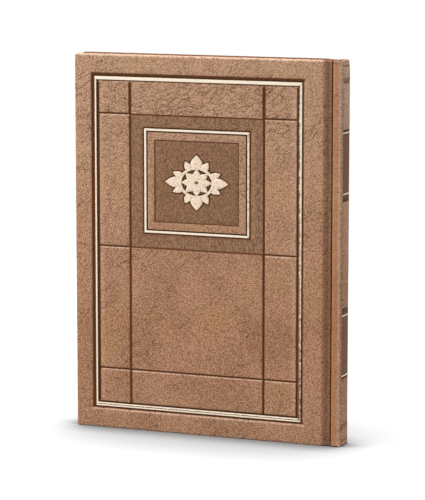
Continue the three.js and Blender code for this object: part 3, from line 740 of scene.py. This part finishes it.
def cover_skin(side, word, tooling, x_stops, z_stops):
    lap_x = crease_x - joint_lap
    xs = spread([fore_x + rim, board_end_x, lap_x] + x_stops, grid_step)
    xs = np.unique(np.concatenate([xs, spread([board_end_x - fine_before_joint, lap_x], fine_step)]))
    zs = spread([rim, cover_height - rim] + z_stops, grid_step)
    columns, rows = len(xs), len(zs)
    grid_x, grid_z = np.meshgrid(xs, zs, indexing="ij")
    depth, groove, pressed = tooling(grid_x, grid_z)
    lumps = [[noise.noise(Vector((x, side * lump_row, z)) / lump_size) + 0.5 for z in zs] for x in xs]
    depth = depth + lump_height * np.array(lumps) + joint_fall(grid_x)
    crease_shade = follow(crease_x - grid_x, joint_dirt_and_shade)
    groove = np.where(crease_shade > 0, np.maximum(groove, crease_shade), groove)
    points, values = [], []
    for i, x in enumerate(xs):
        for k, z in enumerate(zs):
            points.append((x, side * (face_y - depth[i, k]), z))
            room = cover_depth - turn_in_thickness - depth[i, k]
            values.append((groove[i, k], pressed[i, k], 0.0, min(leather_thickness, room)))
    faces = faces_between([range(i * rows, (i + 1) * rows) for i in range(columns)], flip=side < 0)
    # The walk round the outline, from the crease along the tail, up the fore edge and along the head.
    quarter = np.linspace(0, math.pi / 2, corner_steps + 1)
    walk = [(i, 0, (0, -1)) for i in reversed(range(columns))]
    walk += [(0, 0, (-math.sin(a), -math.cos(a))) for a in quarter]
    walk += [(0, k, (-1, 0)) for k in range(rows)]
    walk += [(0, rows - 1, (-math.cos(a), math.sin(a))) for a in quarter]
    walk += [(i, rows - 1, (0, 1)) for i in range(columns)]
    loops = []
    for i, k, (out_x, out_z) in walk:
        x, z, face = xs[i], zs[k], depth[i, k]
        inset = joint_notch * float(follow(x - board_end_x, notch_run))
        # The turn-ins are mitred, so none reaches past the diagonal of its corner.
        to_fore = x - fore_x if out_z else turn_in_width
        to_end = min(z, cover_height - z) if out_x else turn_in_width
        reach = max(rim, min(turn_in_width, to_fore, to_end))
        rolled_thickness = min(leather_thickness, (cover_depth - face) * rolled_skin_share)
        head_tone, head_reach = head_highlight_and_shade[side]
        flap_tone, flap_reach = flap_painted_shade[side]
        loop = []
        for t, d in edge_roll(face, inset, edge_radius, cover_depth):
            out = rim - min(t, reach)
            loop.append(len(points))
            points.append((x + out_x * out, side * (face_y - d), z + out_z * out))
            tone = groove[i, k]
            if out_z > 0.5 and face < d < min(cover_depth, face + head_reach) and tone <= 0:
                tone = head_tone
            elif out_z > 0.5 and d >= cover_depth and t < flap_reach:
                tone = flap_tone
            drawn = edge_draw * min(1.0, max(0.0, d - face) / edge_radius)
            thickness = turn_in_thickness if d > cover_depth - inner_radius else rolled_thickness
            values.append((tone, 0.0, drawn, thickness))
        loops.append(loop if side > 0 else loop[::-1])
    piece = skin_piece(f"{word}_cover_leather", points, faces + faces_between(loops), values, leatherette)
    bend_over_joint(piece)
    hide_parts(f"{word}_cover_skin", f"{word}_joint_skin")


# The grain runs slantwise in short strokes between fine pebbles, in layers that the face lies amid.
# A few long creases follow it. Near the head the skin is slack and lies in fine wavy rumples.
grain_turn, rumple_turn = math.radians(37), 0.35
pebble_size, stroke_size = (1.4, face_y / mm / 3.5, 0.48), (2.2, 0.6, 0.55)
crease_size, crease_patches, crease_width = (30, 8, 6.5), (20, 20, 20), 0.022
rumple_size, rumple_width = (11, 4, 2.8), 0.085
# How slack the skin is up its height, towards the spine and at the head: from, to and its two levels.
slack_rise = (0.12, 0.215, 0.12, 1.0)
spine_slack, head_slack = (0.045, 0.07, 1.0, 0.3), (0.224, 0.232, 1.0, 0.4)
rib_size, weft_size = (0.55, 0.6, 2.5), (1.5, 0.6, 0.55)
cloud_size, drift_size, dusk_size = (17, 17, 17), (34, 34, 50), (24, 24, 30)
grain_depth = 0.15 * mm
painted_light_tan = shade(218, 180, 148)


def leather_finish():
    """Tan leatherette: fine diagonal grain with a few drawn creases, clouded; dark where pressed and where
    shade is painted.
    """
    skin = Finish("leatherette", roughness=0.55, specular=0.08)
    place = skin.carried("rest_place", "Vector")
    groove, pressed, drawn = (skin.carried(name) for name in ("groove", "pressed", "drawn"))
    across, _, up = skin.put("SeparateXYZ", {0: place}).outputs

    def thread_of(cloud, width):
        """Thin lines where a cloud crosses its middle value, from one on the line to nought beside it."""
        from_middle = skin.maths("ABSOLUTE", skin.maths("SUBTRACT", cloud, 0.5))
        return skin.between(from_middle, width / 3, width, 1.0, 0.0)

    grain = skin.pebbles(place, pebble_size, grain_turn, disorder=0.75)
    strokes = skin.cloudy(skin.shaken(place, 9, 1.5), stroke_size, grain_turn, detail=0.0)
    long_cloud = skin.cloudy(skin.shaken(place, 30, 10), crease_size, grain_turn, detail=1.0)
    drawn_here = skin.between(skin.cloudy(place, crease_patches, 0.3), 0.46, 0.6, 0.0, 0.6)
    rumple_cloud = skin.cloudy(skin.shaken(place, 20, 12), rumple_size, rumple_turn, detail=1.0)
    taut = skin.times(skin.between(across, *spine_slack), skin.between(up, *head_slack))
    slack = skin.times(skin.times(skin.between(up, *slack_rise), taut), skin.times_plus(drawn_here, 0.6, 0.6))
    creases = skin.times(thread_of(long_cloud, crease_width), drawn_here)
    creases = skin.times_plus(thread_of(rumple_cloud, rumple_width), slack, creases, clamp=True)
    ribs = skin.cloudy(place, rib_size, detail=0.0)
    weft = skin.cloudy(place, weft_size, detail=0.0)

    # The tan is clouded, with ochre drifts and dusky ones, and painted paler towards the head and a little at
    # the foot, as painted light.
    clouds = skin.cloudy(place, cloud_size, 0.5, detail=0.0)
    drifts = skin.cloudy(place, drift_size, -0.5, detail=1.0, roughness=0.3)
    dusk = skin.cloudy(place, dusk_size, 0.9, detail=1.0, roughness=0.3)
    tan = skin.mixed(skin.between(clouds, 0.35, 0.65), shade(177, 128, 98), shade(172, 126, 94))
    for pattern, low, high, most, colour in (
            (drifts, 0.54, 0.72, 0.7, shade(176, 131, 86)), (dusk, 0.4, 0.64, 0.6, shade(152, 106, 76)),
            (up, 0.06, 0.23, 0.44, painted_light_tan), (up, 0.05, 0.0, 0.14, painted_light_tan)):
        tan = skin.mixed(skin.between(pattern, low, high, 0.0, most), tan, colour)
    tan = skin.mixed(skin.times(drawn, 0.7), tan, shade(176, 120, 80))

    # Where the skin isn't drawn tight, its valleys and creases are brown and its crests pale: pale grain in
    # part, and in part painted glints.
    rough = skin.maths("SUBTRACT", 1.0, skin.times(drawn, 0.6))
    pit, top = skin.between(grain, 0.46, 0.7), skin.between(grain, 0.38, 0.16)
    valley = skin.times_plus(skin.between(strokes, 0.46, 0.3), 0.1, skin.times(pit, 0.56))
    valley = skin.times_plus(creases, 0.5, valley, clamp=True)
    crest_and_glint = skin.times_plus(skin.between(strokes, 0.54, 0.7), 0.1, skin.times(top, 0.55))
    grain_and_glints = skin.mixed(skin.times(valley, rough), tan, shade(108, 66, 38))
    grain_and_glints = skin.mixed(skin.times(crest_and_glint, rough), grain_and_glints, shade(240, 208, 178))

    # Where the plate has pressed it smooth it is duller and shows a cloth's ribs, and the burnt
    # grooves go from brown to nearly black.
    weave = skin.times_plus(skin.between(ribs, 0.38, 0.62), 0.6, skin.between(weft, 0.38, 0.62, 0.0, 0.4))
    flat = skin.mixed(weave, shade(124, 90, 64), shade(168, 129, 100))
    flat = skin.mixed(skin.times(pit, 0.5), flat, shade(92, 64, 44))
    flat = skin.mixed(skin.times(top, 0.4), flat, shade(200, 166, 138))
    # The dark colours also paint shade: in the joint and crease, on the back cover's head edge and turn-in,
    # and on the spine's far roll.
    dark = skin.mixed(skin.between(groove, 0.62, 0.76), shade(108, 64, 36), shade(74, 46, 22))
    dark = skin.mixed(skin.between(groove, 0.78, 1.0), dark, shade(30, 16, 6))
    # Below nought the tone paints pale highlights on the grooves' lips, the front head roll and the spine's
    # roll; the spine's back is also paler towards its head.
    highlight_and_pale = skin.times(groove, skin.between(strokes, 0.4, 0.6, -0.35, -1.0), clamp=True)
    tone = skin.mixed(highlight_and_pale, skin.mixed(pressed, grain_and_glints, flat), shade(242, 208, 182))
    skin.coloured(skin.mixed(skin.between(groove, 0.0, 0.6), tone, dark))

    relief = skin.times_plus(strokes, 0.6, skin.times(grain, -0.8))
    relief = skin.times(skin.times_plus(creases, -1.5, relief), rough)
    soft = skin.times_plus(ribs, 0.35, skin.times(weft, 0.25))
    skin.raised(skin.put("Mix", {0: pressed, 2: relief, 3: soft}, data_type="FLOAT").outputs[0], grain_depth)
    return skin.material


leatherette = leather_finish()

face_spans = ((fore_x + rim, board_end_x), (rim, cover_height - rim))
uprights, levels = (panel_box[0], panel_box[2]), (bottom_line_z, panel_box[1], panel_box[3])


def front_stops(axis, lines, low, high):
    """The stops that the front's tooling needs along X, axis 0, or Z, axis 1."""
    span, stops = face_spans[axis], []
    for box, walls in ((border_box, border_walls), (plaque_box, plaque_walls), (panel_box, panel_walls)):
        stops += stops_along((box[axis], box[axis + 2]), walls, span)
    for line in lines:
        stops += stops_along((line, line), line_walls, span)
    return stops + list(spread([low - mm, high + mm], fine_step))


cover_skin(front_side, "front", front_tooling, front_stops(0, uprights, sprig_low.x, sprig_high.x),
           front_stops(1, levels, sprig_low.z, sprig_high.z))


# The back cover is the same padded skin, drawn over its board, rolled round the edges and turned in.
# It is plain but for one blind line, pressed round it with a heated tool where the front has its border.
back_line_walls = ([-1.0, -0.2, 0.0, 0.35, 1.15, 1.5, 1.7, 2.5], [0, 0.03, 0.08, 0.42, 0.42, 0.08, 0.03, 0])
back_line_burn = ([0.05, 0.36], [0, 0.7])


def back_tooling(x, z):
    depth = wall(inside_of(border_box, x, z), back_line_walls)
    return depth, follow(depth, back_line_burn), np.zeros_like(x)


cover_skin(back_side, "back", back_tooling,
           *(stops_along((border_box[axis], border_box[axis + 2]), back_line_walls, face_spans[axis])
             for axis in (0, 1)))


# The spine is one strip of the same skin over the stiffener, rolled down at both shoulders into the
# creases and turned in at head and tail. Its panels are pressed between foil lines.
shoulder_sink, shoulder_rise, shoulder_radius = 0.15 * mm, 1.2 * mm, 1.3 * mm
spine_radius, spine_crown, bow_end_share, bow_stops = 1.9 * mm, 0.5 * mm, 1.25, 25
section_turn, section_step = math.radians(12), 0.7 * mm
spine_edge_radius = 1.0 * mm
spine_row_step = 2.5 * mm
spine_lump_height, spine_lump_size = 0.04 * mm, 11 * mm
head_pinch, head_pinch_length = 0.45 * mm, 7 * mm

# Runs by the distance from mid-thickness: the wall's depth, and where the tooling is.
spine_walls = ([4.2, 5.6], [2.49, 1.25])
tooled_run = ([5.19, 5.59], [1, 0])
# How far in from the crown of the back there is tooling, and how far in the way along the back counts
# towards the distance round the spine.
tooled_within, back_within = 1.5 * mm, 2 * mm
# Runs by the distance round the spine from the crease over the flank, the roll and the back: how far
# each end is drawn in, how tightly the skin is drawn, where the back is, and the painted highlight on the
# roll.
end_places = [0.3, 1.6, 5.2, 6.6, 7.6, 9.6]
tail_inset_run = (end_places, [0.3, 0.5, 0.5, 0.0, 0.0, 0.2])
head_inset_run = (end_places, [0.3, 0.1, 0.1, 0.75, 0.75, 0.2])
drawn_run = ([0.3, 1.2, 3.8, 7.0], [0.4, 1, 0.7, 0])
back_run = ([5.2, 7.2], [0, 1])
roll_highlight_run = ([4.4, 5.0, 6.6, 7.2], [0, 0.35, 0.35, 0])
# Dark lines: in the crease, partly dirt and partly painted shade; and where the roll meets the back, a burnt
# line in patches, painted darker on the far side as shade.
crease_dirt_and_shade_run = ([0.1, 0.7], [0.8, 0])
roll_line, roll_line_run = 5.45 * mm, ([0.1, 0.5], [1, 0])
roll_patch, roll_patch_tone = 2.5 * mm, 0.7
roll_line_and_far_shade = {front_side: 0.3, back_side: 0.6}
# The back of the spine is a little paler towards its head.
pale_back_run = ([180, 220], [0.1, 0.4])
least_burn = 0.02

# Each run of tooling on the spine lies by a place above and below mid-height: distances from it in
# millimetres, with the depth, how dark and how smooth the skin is there.
foil_boxes = [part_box(f"spine_foil_line_{i}") for i in range(1, 5)]
foil_middles = sorted((box[0].z + box[1].z) / 2 - cover_height / 2 for box in foil_boxes)
inner_foil, outer_foil = foil_middles[2], foil_middles[3]
panel_end, strip_start, strip_end = 33.1 * mm, 105.9 * mm, 115.9 * mm
spine_runs = (
    (panel_end, ((-0.3, 0, 0, 0), (0.2, 0.4, 0.8, 0))),
    (inner_foil, ((-1.1, 0.45, 0.5, 1), (-0.6, 0.2, 0.6, 1), (0.6, 0.2, 0.6, 1), (0.9, 0.32, 0.5, 1),
                  (1.6, 0.3, 0.34, 1))),
    (outer_foil, ((-1.6, 0.3, 0.34, 1), (-0.9, 0.32, 0.5, 1), (-0.6, 0.2, 0.6, 1), (0.6, 0.2, 0.6, 0),
                  (1.0, 0.45, 0.9, 0), (1.7, 0.4, 0.8, 0), (2.2, 0, 0, 0))),
    (strip_start, ((-0.5, 0, 0, 0), (0, 0.35, 0.4, 0), (3.1, 0.35, 0.12, 0.5), (3.6, 0, 0, 0))),
    (strip_end, ((-0.4, 0, 0, 0), (0, 0.3, 0.3, 0), (0.8, 0.3, 0.3, 0), (1.2, 0, 0, 0))),
)
level_places, *level_looks = zip(*((place + away * mm, *looks) for place, run in spine_runs
                                   for away, *looks in run))


def rounded_path(corners):
    """A line through corners (x, y, radius), with each rounded corner drawn as an arc."""
    path = []
    for i, (x, y, radius) in enumerate(corners):
        corner = Vector((x, y))
        if not radius or i in (0, len(corners) - 1):
            path.append(corner)
            continue
        back = (Vector(corners[i - 1][:2]) - corner).normalized()
        on = (Vector(corners[i + 1][:2]) - corner).normalized()
        half_angle = back.angle(on) / 2
        centre = corner + (back + on).normalized() * radius / math.sin(half_angle)
        start = corner + back * radius / math.tan(half_angle) - centre
        end = corner + on * radius / math.tan(half_angle) - centre
        sweep = start.angle_signed(end)
        count = max(2, math.ceil(abs(sweep) / section_turn))
        for k in range(count + 1):
            turn = -sweep * k / count
            path.append(centre + Vector((start.x * math.cos(turn) - start.y * math.sin(turn),
                                         start.x * math.sin(turn) + start.y * math.cos(turn))))
    return path


def bowed_x(y):
    return spine_high.x - spine_crown * (y / (face_y - shoulder_sink)) ** 2


def spine_section():
    """The line of the spine's skin seen from above, from the front crease round the back to the other."""
    shoulder_y = face_y - shoulder_sink
    half_flat = shoulder_y - bow_end_share * spine_radius
    flat = [(bowed_x(half_flat * s), half_flat * s, 0) for s in np.linspace(-1, 1, bow_stops)]
    near = [(crease_x + joint_lap, -(face_y - crease_depth), 0),
            (crease_x + shoulder_rise, -shoulder_y, shoulder_radius),
            (spine_high.x - spine_crown, -shoulder_y, spine_radius)]
    far = [(x, -y, radius) for x, y, radius in reversed(near)]
    path = rounded_path(near + flat + far)
    filled = []
    for first, second in zip(path, path[1:]):
        count = max(1, math.ceil((second - first).length / section_step))
        filled += [first.lerp(second, i / count) for i in range(count)]
    return filled + [path[-1]]


def spine_leather():
    path = spine_section()
    both = [cover_height / 2 + hand * place for place in level_places for hand in (1, -1)]
    zs = spread([rim, cover_height - rim] + both, spine_row_step)
    points, values, loops = [], [], []
    for i, point in enumerate(path):
        along = (path[min(i + 1, len(path) - 1)] - path[max(i - 1, 0)]).normalized()
        inwards = Vector((-along.y, along.x))
        from_top, aside = spine_high.x - point.x, abs(point.y)
        tooled = float(follow(aside, tooled_run)) if from_top < tooled_within else 0.0
        wall_depth = float(wall(aside, spine_walls))
        around = point.x - crease_x + (max(0.0, face_y - aside) if from_top < back_within else 0.0)
        drawn, on_back, roll_highlight = (float(follow(around, run))
                                     for run in (drawn_run, back_run, roll_highlight_run))
        crease = float(follow(point.x - crease_x, crease_dirt_and_shade_run))
        roll_here = float(follow(abs(aside - roll_line), roll_line_run)) * on_back
        roll_tone = roll_line_and_far_shade[front_side if point.y < 0 else back_side]

        def placed(depth, z):
            flat = point + inwards * depth
            return (flat.x, flat.y, z)

        column = []
        for z in zs:
            from_middle = abs(z - cover_height / 2)
            depth, dark, smooth = (tooled * float(np.interp(from_middle, level_places, look))
                                   for look in level_looks)
            lump = noise.noise(Vector((point.x, point.y, z)) / spine_lump_size) + 0.5
            near_head = float(np.interp(z, [cover_height - head_pinch_length, cover_height - rim], [0, 1]))
            depth = depth * mm + spine_lump_height * lump + head_pinch * near_head * on_back
            patch = noise.noise(Vector((0.0, point.y, z)) / roll_patch)
            roll = (roll_tone + roll_patch_tone * patch) * roll_here
            burnt_and_shaded = max(dark, crease, roll)
            pale_and_roll_highlight = float(follow(z, pale_back_run)) * on_back + roll_highlight
            column.append(len(points))
            points.append(placed(depth, z))
            values.append((burnt_and_shaded if burnt_and_shaded > least_burn else -pale_and_roll_highlight, smooth, drawn, leather_thickness))
        end_tone = values[column[0]][0]
        ends = []
        for base, hand, inset_run in ((zs[0], -1, tail_inset_run), (zs[-1], 1, head_inset_run)):
            face = head_pinch * on_back if hand > 0 else 0.0
            end = []
            for t, d in edge_roll(face, wall(around, inset_run), spine_edge_radius, wall_depth):
                end.append(len(points))
                points.append(placed(d, base + hand * (rim - t)))
                thickness = turn_in_thickness if t > rim else leather_thickness
                values.append((end_tone, 0.0, drawn, min(thickness, (wall_depth - face) * rolled_skin_share)))
            ends.append(end)
        loops.append(ends[0][::-1] + column + ends[1])
    piece = skin_piece("spine_leather", points, faces_between(loops, flip=True), values, leatherette)
    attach(piece, root_body)
    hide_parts("spine_skin")


spine_leather()


# Cream foil is laid on with the same heated plate: a thin film with a soft shine on each ridge. On the
# border it is painted browner across its bars and towards the spine and the tail, as painted reflection.
foil_thickness, foil_crown = 0.12 * mm, 0.1 * mm
foil_seat, foil_run = 0.215 * mm, 1.1 * mm
foil_stops = (0, 0.06, 0.16, 0.28, 0.4, 0.5, 0.6, 0.72, 0.84, 0.94, 1)
foil_specks, foil_relief = (1.1, 1.1, 1.4), 0.09 * mm
# Where the film begins and ends, in millimetres inwards from the edge of the groove, on the sides of
# the fore edge, the spine, the tail and the head.
border_film = ((2.55, 3.6), (1.9, 3.95), (1.75, 4.0), (1.9, 3.95))
plaque_film = ((1.0, 2.35),) * 4
# How dark the border's film is painted as reflection, by its share inwards across a bar, and up the bar
# beside the spine. The bar along the tail is split down its middle instead, and the plaque's is worn evenly,
# more by the spine.
fore_wear = ([0.0, 0.1, 0.8, 1.0], [0.3, 0.0, 0.1, 0.5])
spine_wear = ([0.45, 0.8], [0.1, 0.75])
head_wear = ([0.0, 0.2], [0.35, 0.0])
spine_wear_up = ([0.02, 0.11, 0.2], [0.55, 0.3, 0.0])
border_patch, border_patch_wear = 2.1 * mm, 0.35
split_place, split_sway, split_width, split_wear, split_patch_wear = 0.52, 0.06, 0.11, 1.2, 0.9
plaque_patch, plaque_patch_wear, plaque_even_wear, plaque_spine_wear = 2.5 * mm, 0.25, 0.1, 0.25


def foil_finish():
    foil = Finish("cream_foil", roughness=0.35, specular=0.45)
    wear = foil.carried("wear")
    speck = foil.cloudy(foil.carried("rest_place", "Vector"), foil_specks, detail=3.0, roughness=0.65)
    skip = foil.between(foil.times_plus(wear, 0.5, speck), 0.66, 0.92)
    # Where this is high the film is browner and lets the skin show: wear and tint on the centrepiece, spine
    # lines and plaque, painted reflection on the border.
    film = foil.mixed(wear, shade(255, 241, 218), shade(226, 176, 140))
    foil.coloured(foil.mixed(skip, film, shade(108, 70, 42)))
    foil.raised(speck, foil_relief, 0.55, invert=True)
    return foil.material


cream_foil = foil_finish()
# The half-round film as (share of its width, height), from one edge over the crown to the other.
foil_section = [(0, 0), (1, 0)]
foil_section[1:1] = [(s, foil_thickness + foil_crown * math.sin(math.pi * s)) for s in foil_stops]


def foil_frame(node, box, films, wear_at):
    """A rectangular frame of film with mitred corners, lying on its ridge inside a groove box."""
    x0, z0, x1, z1 = box
    fore, spine, tail, head = [(start * mm, (end - start) * mm) for start, end in films]
    # Each corner is its outer point and the widths that meet there. The bar that follows has its number.
    corners = [((x0 + fore[0], z0 + tail[0]), (fore[1], tail[1])),
               ((x1 - spine[0], z0 + tail[0]), (-spine[1], tail[1])),
               ((x1 - spine[0], z1 - head[0]), (-spine[1], -head[1])),
               ((x0 + fore[0], z1 - head[0]), (fore[1], -head[1]))]
    walk = []
    for bar, (place, inwards) in enumerate(corners):
        after = corners[(bar + 1) % 4][0]
        count = math.ceil(max(abs(after[0] - place[0]), abs(after[1] - place[1])) / foil_run)
        walk.append((place, inwards, bar))
        for k in range(1, count):
            spot = [a + (b - a) * k / count for a, b in zip(place, after)]
            walk.append((spot, (0, inwards[1]) if bar % 2 == 0 else (inwards[0], 0), bar))
    points, wear = [], []
    for (x, z), (in_x, in_z), bar in walk:
        for share, height in foil_section:
            px, pz = x + in_x * share, z + in_z * share
            points.append((px, -(face_y - foil_seat + height), pz))
            wear.append(wear_at(bar, share, px, pz) if height else 1.0)
    size = len(foil_section)
    rows = [range(i * size, (i + 1) * size) for i in range(len(walk))]
    faces = faces_between(rows + rows[:1], ring=True, flip=True)
    piece = new_piece(f"{node}_film", points, faces, cream_foil, wear=wear)
    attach(piece, "front_cover")
    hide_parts(node)


def border_wear(bar, share, x, z):
    """Painted reflection on the border's film. The bars are the tail's, the spine's, the head's and the fore
    edge's.
    """
    patch = noise.noise(Vector((x, 0.0, z)) / border_patch)
    if bar == 0:
        split = math.exp(-((share - split_place - split_sway * patch) / split_width) ** 2)
        return min(1.0, split * (split_wear + split_patch_wear * patch))
    if bar == 1:
        rubbed = float(np.interp(share, *spine_wear) + np.interp(z, *spine_wear_up))
        return min(1.0, max(0.0, rubbed + border_patch_wear * patch))
    return float(np.interp(share, *(head_wear if bar == 2 else fore_wear)))


def plaque_wear(bar, share, x, z):
    patch = noise.noise(Vector((x, 0.1, z)) / plaque_patch)
    by_spine = plaque_spine_wear if bar == 1 else 0.0
    return max(0.0, plaque_even_wear + plaque_patch_wear * patch + by_spine)


foil_frame("front_border_foil", border_box, border_film, border_wear)
foil_frame("front_plaque_foil", plaque_box, plaque_film, plaque_wear)


# The centrepiece is the same film laid on raised leaves round a rosette, in the sunk middle of the
# plaque, and pressed on by the same plate.
leaf_height, leaf_seat = 0.42 * mm, 0.5 * mm
leaf_rows, leaf_columns = 16, 7
leaf_end_share, leaf_fall, vein_fall, vein_share = 0.015, 0.45, 0.25, 0.1
ring_turns, rosette_turns, ring_fall = 72, 32, 0.4
ring_stops = (0, 0.2, 0.5, 0.8, 1)
centrepiece_wear = 0.3


def raised_leaf(root, reach, width, angle):
    """Rows (u, v, height) across one leaf, which is rounded and has a vein down its middle."""
    rows = []
    for r in range(leaf_rows + 1):
        share = leaf_end_share + (1 - 2 * leaf_end_share) * r / leaf_rows
        along = root + (reach - root) * share
        half_width = width / 2 * math.sin(math.pi * share ** leaf_rounding)
        row = []
        for side_share in np.linspace(-1, 1, leaf_columns):
            fall = leaf_fall * side_share ** 2 + vein_fall * (abs(side_share) < vein_share)
            aside = half_width * side_share
            row.append((along * math.cos(angle) - aside * math.sin(angle),
                        along * math.sin(angle) + aside * math.cos(angle), leaf_height * (1 - fall)))
        rows.append(row)
    return rows


def raised_ring(inner, outer, turns):
    rows = []
    for angle in np.linspace(0, 2 * math.pi, turns + 1):
        rows.append([((inner + (outer - inner) * s) * math.cos(angle),
                      (inner + (outer - inner) * s) * math.sin(angle),
                      leaf_height * (1 - ring_fall * (2 * s - 1) ** 2)) for s in ring_stops])
    return rows


def on_plaque(u, v, height):
    y = -(face_y - leaf_seat + height)
    return (sprig_middle.x + sprig_half_x * u, y, sprig_middle.z + sprig_half_z * v)


def pillow(rows):
    """A closed form from rows of (u, v, height) across it, with a flat back."""
    rings = [[on_plaque(*spot) for spot in row] + [on_plaque(u, v, 0) for u, v, _ in reversed(row)]
             for row in rows]
    return solid_through(rings, flip=True)


forms = [raised_leaf(*leaf) for leaf in all_leaves]
forms.append(raised_ring(ring_inner_share, ring_outer_share, ring_turns))
forms.append(raised_ring(eye_share, rosette_share, rosette_turns))
points, faces = together([pillow(rows) for rows in forms])
leaf_wear = [centrepiece_wear] * len(points)
centrepiece = new_piece("front_centrepiece_film", points, faces, cream_foil, wear=leaf_wear)
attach(centrepiece, "front_cover")
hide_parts("front_centrepiece_foil")


# Four thin lines of the same film cross the spine. They are laid on its ridges with the heated plate
# and follow its bow.
spine_foil_sink, spine_foil_steps, spine_foil_wear = 0.2 * mm, 24, 0.25


def spine_foil(number):
    low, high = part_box(f"spine_foil_line_{number}")
    rings = []
    for y in np.linspace(low.y, high.y, spine_foil_steps + 1):
        rings.append([(bowed_x(y) - spine_foil_sink + height, y, low.z + (high.z - low.z) * share)
                      for share, height in foil_section])
    points, faces = solid_through(rings, flip=True)
    wear = [spine_foil_wear] * len(points)
    piece = new_piece(f"spine_foil_film_{number}", points, faces, cream_foil, wear=wear)
    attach(piece, root_body)
    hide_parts(f"spine_foil_line_{number}")


for number in range(1, 5):
    spine_foil(number)


# The pasted-down halves of the endpapers cover the boards and the edges of the turn-ins, dip between
# these, and run on across each joint to the fold beside the text block.
paste_thickness = 0.15 * mm
dipped_depth, turn_in_step = 2.74 * mm, 0.5 * mm
fold_gap = 0.3 * mm
paste_grid_x, paste_grid_z, joint_grid = 20 * mm, 30 * mm, 0.4 * mm
lift_start = 1.5 * mm


def pasted_endpaper(side, word):
    low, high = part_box(f"{word}_pastedown")
    end_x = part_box(f"{word}_endpaper_fold")[1].x - fold_gap
    over_depth = face_y - (low.y if side > 0 else -high.y) - paste_thickness
    window_x, window_top = fore_x + turn_in_width, cover_height - turn_in_width
    xs = spread([low.x, window_x, window_x + turn_in_step, board_end_x, end_x], paste_grid_x)
    xs = np.unique(np.concatenate([xs, spread([board_end_x, end_x], joint_grid)]))
    zs = spread([low.z, turn_in_width, turn_in_width + turn_in_step, window_top - turn_in_step,
                 window_top, high.z], paste_grid_z)
    rings = []
    for x in xs:
        lift = float(np.interp(x, [board_end_x + lift_start, crease_x], [0, 1]))
        lowest = over_depth + (dipped_depth - over_depth) * (1 - lift)
        outer, inner = [], []
        for z in zs:
            inside = min(x - window_x, z - turn_in_width, window_top - z)
            depth = float(np.interp(inside, [0, turn_in_step], [over_depth, lowest]))
            outer.append((x, side * (face_y - depth), z))
            inner.append((x, side * (face_y - depth - paste_thickness), z))
        rings.append(outer + inner[::-1])
    piece = new_piece(f"{word}_pasted_endpaper", *solid_through(rings, flip=side < 0), endpaper)
    bend_over_joint(piece)
    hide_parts(f"{word}_pastedown")


pasted_endpaper(front_side, "front")
pasted_endpaper(back_side, "back")
